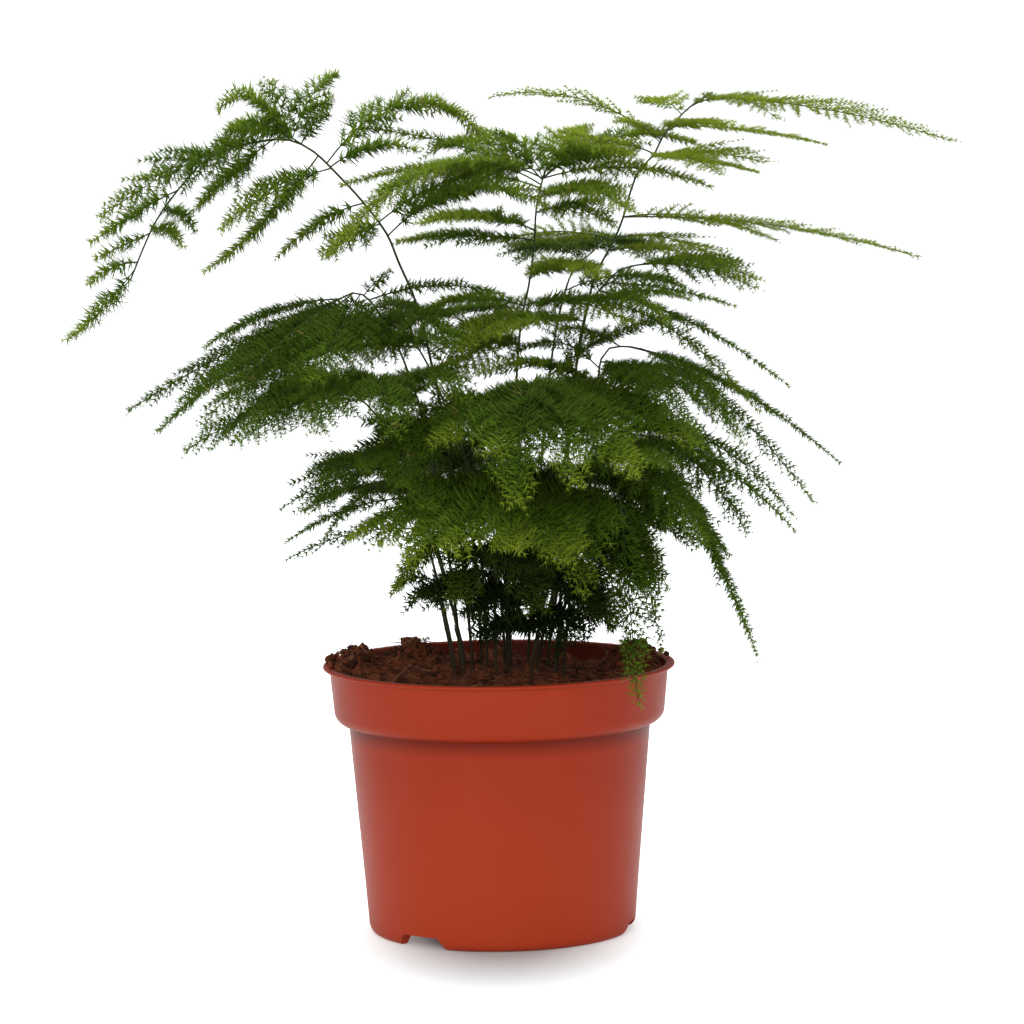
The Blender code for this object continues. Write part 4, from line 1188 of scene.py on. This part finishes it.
def point_at(line, share):
    """The point at a share of a line's length."""
    lengths = [(b - a).length for a, b in zip(line, line[1:])]
    left = share * sum(lengths)
    for a, b, length in zip(line, line[1:], lengths):
        if left <= length:
            return a.lerp(b, left / length)
        left -= length
    return line[-1]


def stem_line(name, step):
    """The stem from its buried end to the last point of its route."""
    (x, y), _, route, _ = STEMS[name]
    soil = soil_height(x, y)
    buried = Vector((x, y, soil - STEM_BURIED)) * MM
    collar = Vector((x, y, soil + COLLAR_ABOVE_SOIL)) * MM
    above = [Vector(point) * MM for point in route]
    return [buried, *curve_through([buried, collar, *above], step * MM)]


def arched_line(start, tip, bow):
    """A plume's rib, bowed up in the middle and over under its own weight."""
    bend = start.lerp(tip, 0.5) + Vector((0, 0, 2 * bow))
    count = max(4, round((tip - start).length / (LINE_STEP * MM)))
    shares = [n / count for n in range(count + 1)]
    return [start * (1 - t) ** 2 + bend * 2 * t * (1 - t) + tip * t**2 for t in shares]


# %% Growth rules


def swings():
    """Angles to try for a plume, from none to the widest, to one side and the other."""
    return [0.0] + [side * SWING_STEP * n for n in range(1, SWING_TRIES) for side in (1, -1)]


def grow():
    """Every stem's line, and its plumes as (rib line, half width, roll). A plume that would run
    into another rib or stem is swung round its stem, a few degrees at a time, until it is clear."""
    draw = random.Random(GROWTH_SEED)
    space = Space(SPACE_CUBE * MM)
    stems = {name: (stem_line(name, LINE_STEP), []) for name in STEMS}
    for name, (line, _) in stems.items():
        space.fill(line, (name, None))
    for name, (line, plumes) in stems.items():
        coarse = stem_line(name, STEM_STEP)
        for number, (share, tip, half_width, bow) in enumerate(STEMS[name][3]):
            start = point_at(coarse, min(share, LAST_FOOT))
            reach = Vector(tip) * MM - start
            roll = STEMS[name][1] * reach.x / reach.length + draw.uniform(-PLUME_ROLL, PLUME_ROLL)
            for angle in swings():
                turned = Matrix.Rotation(math.radians(angle), 3, "Z") @ reach
                rib = arched_line(start, start + turned, bow * MM)
                near = [p for p in rib if FOOT_REACH * MM < (p - start).length < FUSED_REACH * MM]
                far = [p for p in rib if (p - start).length >= FUSED_REACH * MM]
                if space.is_clear(near, LINE_CLEARANCE * MM, lambda owner: owner[0] == name) and (
                    space.is_clear(far, LINE_CLEARANCE * MM, lambda owner: owner == (name, None))
                ):
                    break
            space.fill(near + far, (name, number))
            plumes.append((rib, half_width * MM, math.radians(roll)))
    return stems


def width_share(share):
    """How wide a plume is at a share of its length, as a part of its widest."""
    if share < WIDEST_SHARE:
        return max(0.0, (share - WIDTH_FROM) / (WIDEST_SHARE - WIDTH_FROM)) ** WIDENING
    fall = (share - WIDEST_SHARE) / (1 - WIDEST_SHARE)
    return 1 - (1 - TIP_WIDTH_SHARE) * fall**NARROWING


def plume_axes(rib, share, roll):
    """Along, sideways and upwards on a plume, at a share of its rib."""
    heading = rib[-1] - rib[0]
    sideways = Vector((-heading.y, heading.x, 0)).normalized()
    ahead, behind = point_at(rib, min(1, share + ALONG_SPAN)), point_at(rib, max(0, share - ALONG_SPAN))
    along = (ahead - behind).normalized()
    upwards = along.cross(sideways).normalized()
    sideways = upwards.cross(along)
    turn = Matrix.Rotation(roll, 3, along)
    return along, turn @ sideways, turn @ upwards


# %% Grow the skeleton
skeleton = grow()
print("stems", len(skeleton), "plumes", sum(len(plumes) for _, plumes in skeleton.values()))

# %% [markdown]
# ## Stems and ribs
#
# The stems are as thin as wire: 1.1 mm at the soil and 0.6 mm where they arch over. A curve with a
# round bevel is the natural way to make a wire, since every point can have its own thickness. Each stem and
# its ribs become curves and then one mesh. A rib starts inside its stem, so that no gap shows. Small dry
# scales sit on the lower stem, where the first leaves of an asparagus are no more than brown paper.

# %% Wires
WIRE_STEP = 4.0
WIRE_BASE = 0.55
WIRE_TIP = 0.30
RIB_BASE = 0.30
RIB_TIP = 0.12


def wire(name, lines, roundness):
    """Tapering wires as one mesh. Each line is (points, radius at its start, radius at its end)."""
    curve = bpy.data.curves.new(name, "CURVE")
    curve.dimensions = "3D"
    curve.bevel_depth = MM
    curve.bevel_resolution = roundness
    curve.use_fill_caps = True
    for points, thick, thin in lines:
        spline = curve.splines.new("POLY")
        spline.points.add(len(points) - 1)
        for n, point in enumerate(points):
            spline.points[n].co = (*point, 1)
            spline.points[n].radius = thick + (thin - thick) * n / (len(points) - 1)
    obj = bpy.data.objects.new(name, curve)
    bpy.context.scene.collection.objects.link(obj)
    pick(obj)
    bpy.ops.object.convert(target="MESH")
    return bpy.context.active_object


def joined_rib(line, rib, share):
    """The rib, with its foot moved onto the smooth stem."""
    offset = point_at(line, min(share, LAST_FOOT)) - rib[0]
    count = len(rib) - 1
    return [point + offset * (1 - n / count) ** 3 for n, point in enumerate(rib)]


# %% Dry scales
SCALE_HEIGHTS = (10, 24, 42, 64)
SCALE_RADIUS = 0.8
SCALE_LENGTH = 5.2
SCALE_FLAT = 0.6
SCALE_LEAN = 14
SCALE_OFF_STEM = 0.75
SCALE_RAISED = 1.6


def scale_leaf(place, heading, along):
    """A dry pointed scale, flat against the stem."""
    clear_selection()
    bpy.ops.mesh.primitive_cone_add(vertices=5, radius1=SCALE_RADIUS * MM, radius2=0, depth=SCALE_LENGTH * MM)
    scale = made("dry_scale")
    upright = along.to_track_quat("Z", "Y").to_matrix().to_4x4()
    scale.matrix_world = (
        Matrix.Translation(place) @ upright @ Matrix.Rotation(heading, 4, "Z")
        @ Matrix.Translation((SCALE_OFF_STEM * MM, 0, SCALE_RAISED * MM))
        @ Matrix.Rotation(math.radians(SCALE_LEAN), 4, "Y") @ Matrix.Diagonal((1, SCALE_FLAT, 1, 1))
    )
    apply_all(scale)
    return scale


# %% One stem


def stem_piece(name, line, plumes):
    """One stem with the ribs of its plumes and its dry scales."""
    draw = random.Random(name)
    fine = stem_line(name, WIRE_STEP)
    ribs = []
    for (rib, _, _), (share, *_) in zip(plumes, STEMS[name][3]):
        moved = joined_rib(line, rib, share)
        ribs.append((moved[:-1:2] + [moved[-1]], RIB_BASE, RIB_TIP))
    pieces = [wire("wire", [(fine, WIRE_BASE, WIRE_TIP)], 2), wire("ribs", ribs, 0)]
    root = fine[1].z
    for height in SCALE_HEIGHTS:
        above = [n for n, point in enumerate(fine) if point.z > root + height * MM]
        if not above:
            continue
        n = min(above[0], len(fine) - 2)
        pieces.append(scale_leaf(fine[n], draw.uniform(0, 2 * math.pi), fine[n + 1] - fine[n]))
    pick(*pieces)
    bpy.ops.object.join()
    piece = made(name.replace("stem_", "wires_"))
    edit_all()
    bpy.ops.mesh.remove_doubles(threshold=0.01 * MM)
    close_edit()
    bpy.ops.object.shade_smooth_by_angle(angle=math.radians(60))
    return piece


# %% Stem finish
STEM_BROWN = (0.040, 0.025, 0.010)
STEM_GREEN = (0.040, 0.066, 0.014)
STEM_DARK = (0.014, 0.012, 0.005)
BROWN_UP_TO = 0.092
GREEN_FROM = 0.140
STEM_MARKS = 0.6

stem_skin = Finish("stem_skin")
marks = stem_skin.group(STREAKS, "Mask", Stretch=(1.0, 1.0, 0.08), Scale=1800.0)
colour = stem_skin.tint(STEM_BROWN, STEM_GREEN, stem_skin.level(), (BROWN_UP_TO, GREEN_FROM))
colour = stem_skin.tint(colour, STEM_DARK, marks, shares=(0, STEM_MARKS))
stem_skin.set(Base_Color=colour, Roughness=0.55, Specular_IOR_Level=0.2)
stem_skin.grain(strength=0.3, depth=0.0001, Scale=2500.0, Coarse=0.3)

for name, (line, plumes) in skeleton.items():
    piece = stem_piece(name, line, plumes)
    piece.data.materials.clear()
    piece.data.materials.append(stem_skin.material)
    finish_piece(piece, "fern", name)

# %% [markdown]
# ## Needles
#
# What look like leaves are tiny green branches, as fine as hair and 3 to 6 mm long. They grow in tufts along
# short side twigs, and the twigs stand in two rows on each rib, which makes a plume flat like a feather. A
# tuft is a slim double cone with eight faces, each of which is poked out into a needle. Six tufts are
# modelled, first with a fine core and then with a stout one: the stout ones fill the middle of the bush,
# where many layers overlap and no light comes through. All the rest is counting: where each twig leaves its
# rib, how it bends, where its tufts sit, and how they grow smaller towards the tip. Each tuft also gets two
# values that the finish reads, how young it is and a chance of its own, and each of its points knows how
# near it is to a needle's tip.

# %% Tuft and twig
FINE_CORE = (0.185, 0.60, 0.185)
STOUT_CORE = (0.33, 0.60, 0.33)
NEEDLE_LENGTHS = (2.9, 5.0)
NEEDLE_SPREAD = (28, 62)
NEEDLE_WANDER = 0.5
TUFT_KINDS = 6
TWIG_RADIUS = 0.16


def tuft(seed, core):
    """Eight needles round a short piece of twig: forward is +Y, and the plume's upper face is +Z."""
    draw = random.Random(seed)
    clear_selection()
    bpy.ops.mesh.primitive_cone_add(
        vertices=4, radius1=1, radius2=0, depth=1, end_fill_type="TRIFAN", location=(0, 0, 0.5)
    )
    needles = made("tuft")
    bpy.ops.object.transform_apply(location=True)
    # The cone's flat end becomes the second cone's point.
    for vert in needles.data.vertices:
        if vert.co.length < 0.01:
            vert.co.z = -1
    bpy.ops.transform.rotate(value=math.pi / 2, orient_axis="X", center_override=(0, 0, 0))
    needles.scale = Vector((core[0], core[2], core[1])) * MM
    bpy.ops.object.transform_apply(rotation=True, scale=True)
    first_tip = len(needles.data.vertices)
    edit_all()
    bpy.ops.mesh.poke()
    bpy.ops.object.mode_set(mode="OBJECT")
    for vert in needles.data.vertices[first_tip:]:
        spread_out = math.radians(draw.uniform(*NEEDLE_SPREAD))
        round_axis = math.atan2(vert.co.z, vert.co.x) + draw.uniform(-NEEDLE_WANDER, NEEDLE_WANDER)
        direction = Vector((
            math.sin(spread_out) * math.cos(round_axis), math.cos(spread_out),
            math.sin(spread_out) * math.sin(round_axis),
        ))
        vert.co += direction * draw.uniform(*NEEDLE_LENGTHS) * MM
    return unit_of(needles)


clear_selection()
bpy.ops.mesh.primitive_cone_add(
    vertices=3, radius1=TWIG_RADIUS * MM, radius2=0, depth=1, location=(0, 0.5, 0),
    rotation=(-math.pi / 2, 0, 0),
)
bpy.ops.object.transform_apply(location=True, rotation=True, scale=True)
TWIG = unit_of(made("twig"))
TUFTS = [tuft(seed, core) for core in (FINE_CORE, STOUT_CORE) for seed in range(TUFT_KINDS)]
print("a tuft has", len(TUFTS[0][1]), "triangles")

# %% Plume values
TWIG_PITCH = 4.0
TWIG_PLACES = (0.2, 0.8)
TUFT_PITCH = 1.37
TWIG_SLANT = (62, 36)
SLANT_WANDER = 8
TWIG_LENGTHS = (0.7, 1.15)
SHORTEST_TWIG = 2.0
TWIG_SWEEP = 0.22
TWIG_LEAN = 0.04
LEAN_WANDER = 0.16
TIP_SMALLER = 0.46
TUFT_PLACES = (0.05, 0.35)
TUFT_SIZES = (0.75, 1.1)
TWIG_END_SMALLER = 0.35
DENSE_FROM = 0.75
RIB_TUFT_SIZE = 0.8
END_TUFT_SIZE = 0.6
YOUNG_TIPS = 0.26
TWIG_TIP_YOUTH = 0.5
PLUME_AGE_WANDER = 0.06
TWIG_AGE_WANDER = 0.05
INNER_MIDDLE = Vector((0.010, 0.0, 0.140))
INNER_REACH = Vector((0.085, 0.130, 0.062))
INNER_LONGER = 0.2
STOUT_WITHIN = 0.97
PLAIN_ROUNDNESS = 0.55
TUFT_TURN = 0.45

# How each stem's plumes look: roundness (1 is as round as a brush), needle length, youth, how much younger
# the tips are than the rest, how far the twigs hang and how far apart they stand.
PLAIN_LOOK = (0.60, 1.0, 0.18, 0.22, 0.14, 1.13)
LOOKS = {
    "stem_upper_left": (0.85, 1.12, 0.56, 0.14, 0.14, 1),
    "stem_upper_right": (0.36, 0.90, 0.94, 0.15, 0.03, 0.98),
    "stem_middle": (0.60, 1.10, 0.62, 0.16, 0.10, 1),
    "stem_right_arch": (0.60, 0.95, 0.56, 0.12, 0.10, 1),
    "stem_right_mid": (0.70, 0.84, 0.42, 0.12, 0.16, 1),
    "stem_right_low": (0.75, 0.84, 0.30, 0.16, 0.20, 1),
    "stem_front_right": (0.75, 0.92, 0.36, 0.36, 0.12, 0.88),
    "stem_front_high": (0.70, 1.12, 0.03, 0.62, 0.24, 0.8),
    "stem_front_low": (0.70, 1.15, 0.34, 0.42, 0.24, 0.86),
    "stem_left_high": (0.65, 1.0, 0.20, 0.24, 0.14, 0.97),
    "stem_left_mid": (0.65, 1.02, 0.17, 0.30, 0.16, 0.94),
    "stem_left_low": (0.60, 0.78, 0.14, 0.30, 0.16, 1.05),
    "stem_left_sprout": (0.80, 0.8, 0.20, 0.20, 0.10, 1),
    "stem_inner_left": (0.90, 1.28, 0.08, 0.10, 0.15, 1),
    "stem_inner_right": (0.90, 1.28, 0.08, 0.10, 0.15, 1),
}

# %% Plume growth


def inner_share(place):
    """How far a place is from the middle of the bush: 1 is where the outer foliage starts."""
    off = place - INNER_MIDDLE
    return math.sqrt(sum((a / b) ** 2 for a, b in zip(off, INNER_REACH)))


def plume_growth(rib, half_width, roll, look, draw):
    """A plume's twigs as (foot, tip, upwards, youth) and tufts as (place, forward, upwards, size, youth)."""
    round_share, size, youth, tip_youth, hang, apart = look
    length = sum((b - a).length for a, b in zip(rib, rib[1:]))
    count = max(5, round(length * (1 - BARE_SHARE) / (TWIG_PITCH * apart * MM)))
    youth += draw.gauss(0, PLUME_AGE_WANDER)
    twigs, tufts = [], []
    for n in range(2 * count):
        side = 1 if n % 2 else -1
        share = BARE_SHARE + (1 - BARE_SHARE) * (n + draw.uniform(*TWIG_PLACES)) / (2 * count)
        along, sideways, upwards = plume_axes(rib, share, roll)
        foot = point_at(rib, share)
        wander = draw.uniform(-SLANT_WANDER, SLANT_WANDER)
        slant = math.radians(TWIG_SLANT[0] + (TWIG_SLANT[1] - TWIG_SLANT[0]) * share + wander)
        reach = half_width * width_share(share) / math.sin(slant) * draw.uniform(*TWIG_LENGTHS)
        reach = max(SHORTEST_TWIG * MM, reach)
        fullness = size * (1 - TIP_SMALLER * share**3)
        lean = draw.gauss(TWIG_LEAN, LEAN_WANDER * round_share)
        heading = along * math.cos(slant) + sideways * (side * math.sin(slant)) + upwards * lean
        bend = along * TWIG_SWEEP * reach - Vector((0, 0, hang * reach))
        tip = foot + heading * reach + bend
        age = youth + (YOUNG_TIPS + tip_youth) * share**2.5 + draw.gauss(0, TWIG_AGE_WANDER)
        twigs.append((foot, tip, upwards, age))
        steps = max(1, round(reach / (TUFT_PITCH * MM)))
        for step in range(1, steps + 1):
            out = (step - draw.uniform(*TUFT_PLACES)) / steps
            place = foot + heading * (reach * out) + bend * out**2
            bigger = fullness * draw.uniform(*TUFT_SIZES) * (1 - TWIG_END_SMALLER * out**2)
            forward = heading * reach + bend * (2 * out)
            bigger *= 1 + INNER_LONGER * max(0.0, 1 - inner_share(place))
            tufts.append((place, forward, upwards, bigger, age + TWIG_TIP_YOUTH * tip_youth * out**1.5))
        if n % 3 == 0 or share > DENSE_FROM:
            tufts.append((foot, along, upwards, RIB_TUFT_SIZE * fullness, age))
    tufts.append((rib[-1], along, upwards, END_TUFT_SIZE * size, youth + YOUNG_TIPS + tip_youth))
    return twigs, tufts


# %% All the needles of one stem


def unit_rows(vectors):
    return vectors / np.linalg.norm(vectors, axis=1)[:, None]


def fan_axes(forward, upwards, sizes, heights):
    """Axes for tufts: sideways, forward and upwards, scaled by a size, and by a height out of the plume."""
    forward = unit_rows(forward)
    sideways = unit_rows(np.cross(forward, upwards))
    raised = np.cross(sideways, forward)
    return np.stack([sideways * sizes[:, None], forward * sizes[:, None], raised * heights[:, None]], 1)


def columns(rows):
    """The columns of a table of values, each as one array."""
    return [np.array(column) for column in zip(*rows)]


def growth_set(unit, places, axes, youth, tip, rng):
    """Copies of a twig or a tuft, with the values that the finish reads."""
    points, triangles = copies(unit, places, axes)
    each = len(unit[0])
    chance = np.repeat(rng.uniform(size=len(places)), each)
    values = {"youth": np.repeat(youth, each), "chance": chance, "tip": np.tile(tip, len(places))}
    return points, triangles, values


def needle_piece(name, line, plumes):
    """All the needles and twigs of one stem."""
    draw = random.Random(name)
    rng = np.random.default_rng(len(name) + 100 * len(plumes))
    look = LOOKS.get(name, PLAIN_LOOK)
    twigs, tufts = [], []
    for (rib, half_width, roll), (share, *_) in zip(plumes, STEMS[name][3]):
        grown = plume_growth(joined_rib(line, rib, share), half_width, roll, look, draw)
        twigs += grown[0]
        tufts += grown[1]
    feet, tips, upwards, youth = columns(twigs)
    axes = fan_axes(tips - feet, upwards, np.ones(len(twigs)), np.ones(len(twigs)))
    axes[:, 1] *= np.linalg.norm(tips - feet, axis=1)[:, None]
    sets = [growth_set(TWIG, feet, axes, youth, np.zeros(len(TWIG[0])), rng)]
    sorted_tufts = [[] for _ in TUFTS]
    for n, tuft_values in enumerate(tufts):
        stout = inner_share(tuft_values[0]) < STOUT_WITHIN
        sorted_tufts[n % TUFT_KINDS + TUFT_KINDS * stout].append(tuft_values)
    for unit, some in zip(TUFTS, sorted_tufts):
        if not some:
            continue
        places, forward, upwards, sizes, youth = columns(some)
        upwards = upwards + rng.normal(scale=TUFT_TURN * look[0], size=upwards.shape)
        axes = fan_axes(forward, upwards, sizes, sizes * look[0] / PLAIN_ROUNDNESS)
        tip = np.clip(np.linalg.norm(unit[0], axis=1) / (NEEDLE_LENGTHS[0] * MM), 0, 1)
        sets.append(growth_set(unit, places, axes, youth, tip, rng))
    return mesh_piece(name.replace("stem_", "needles_"), sets, needle_finish.material)


# %% Needle finish
LEAF_DEEP = (0.0165, 0.042, 0.0025)
LEAF_FRESH = (0.062, 0.135, 0.007)
FRESH_YOUTH = (0.15, 0.62)
LEAF_YOUNG = (0.265, 0.355, 0.025)
YOUNG_YOUTH = (0.60, 1.05)
DEEP_CHANCE = (0.0, 0.5)
DEEP_SHARE = 0.35
TIP_SHARE = 0.22
LEAF_DRY = (0.36, 0.26, 0.10)
DRY_CHANCE = (0.995, 0.998)
DRY_SHARE = 0.6
# Painted shade: needles near the middle of the bush are painted nearly black, for the shade of the layers
# round them.
LEAF_CORE_SHADE = (0.0085, 0.015, 0.003)
CORE_SHADE_MIDDLE = (0.008, 0.0, 0.110)
CORE_SHADE_REACH = (0.045, 0.098, 0.054)
CORE_SHADE_EDGE = (0.6, 1.2)
CORE_SHADE_SHARE = 0.88
NEEDLE_MARKS = 0.25

needle_finish = Finish("needles")
youth, chance, tip = (needle_finish.attribute(name) for name in ("youth", "chance", "tip"))
depth = needle_finish.distance([1 / reach for reach in CORE_SHADE_REACH], CORE_SHADE_MIDDLE)
marks = needle_finish.group(STREAKS, "Mask", Stretch=(1.0, 1.0, 1.0), Scale=700.0)
colour = needle_finish.tint(LEAF_DEEP, LEAF_FRESH, youth, FRESH_YOUTH)
colour = needle_finish.tint(colour, LEAF_YOUNG, youth, YOUNG_YOUTH)
colour = needle_finish.tint(colour, LEAF_DEEP, chance, DEEP_CHANCE, (DEEP_SHARE, 0))
colour = needle_finish.tint(colour, LEAF_YOUNG, tip, shares=(0, TIP_SHARE))
colour = needle_finish.tint(colour, LEAF_DRY, chance, DRY_CHANCE, (0, DRY_SHARE))
# Painted shade for the bush's dark middle.
colour = needle_finish.tint(colour, LEAF_CORE_SHADE, depth, CORE_SHADE_EDGE, (CORE_SHADE_SHARE, 0))
colour = needle_finish.tint(colour, LEAF_DEEP, marks, shares=(0, NEEDLE_MARKS))
needle_finish.set(Base_Color=colour, Roughness=0.7, Specular_IOR_Level=0.06)

total = 0
for name, (line, plumes) in skeleton.items():
    piece = needle_piece(name, line, plumes)
    total += len(piece.data.polygons)
    finish_piece(piece, "fern", name)
print("needles and twigs:", total, "triangles")
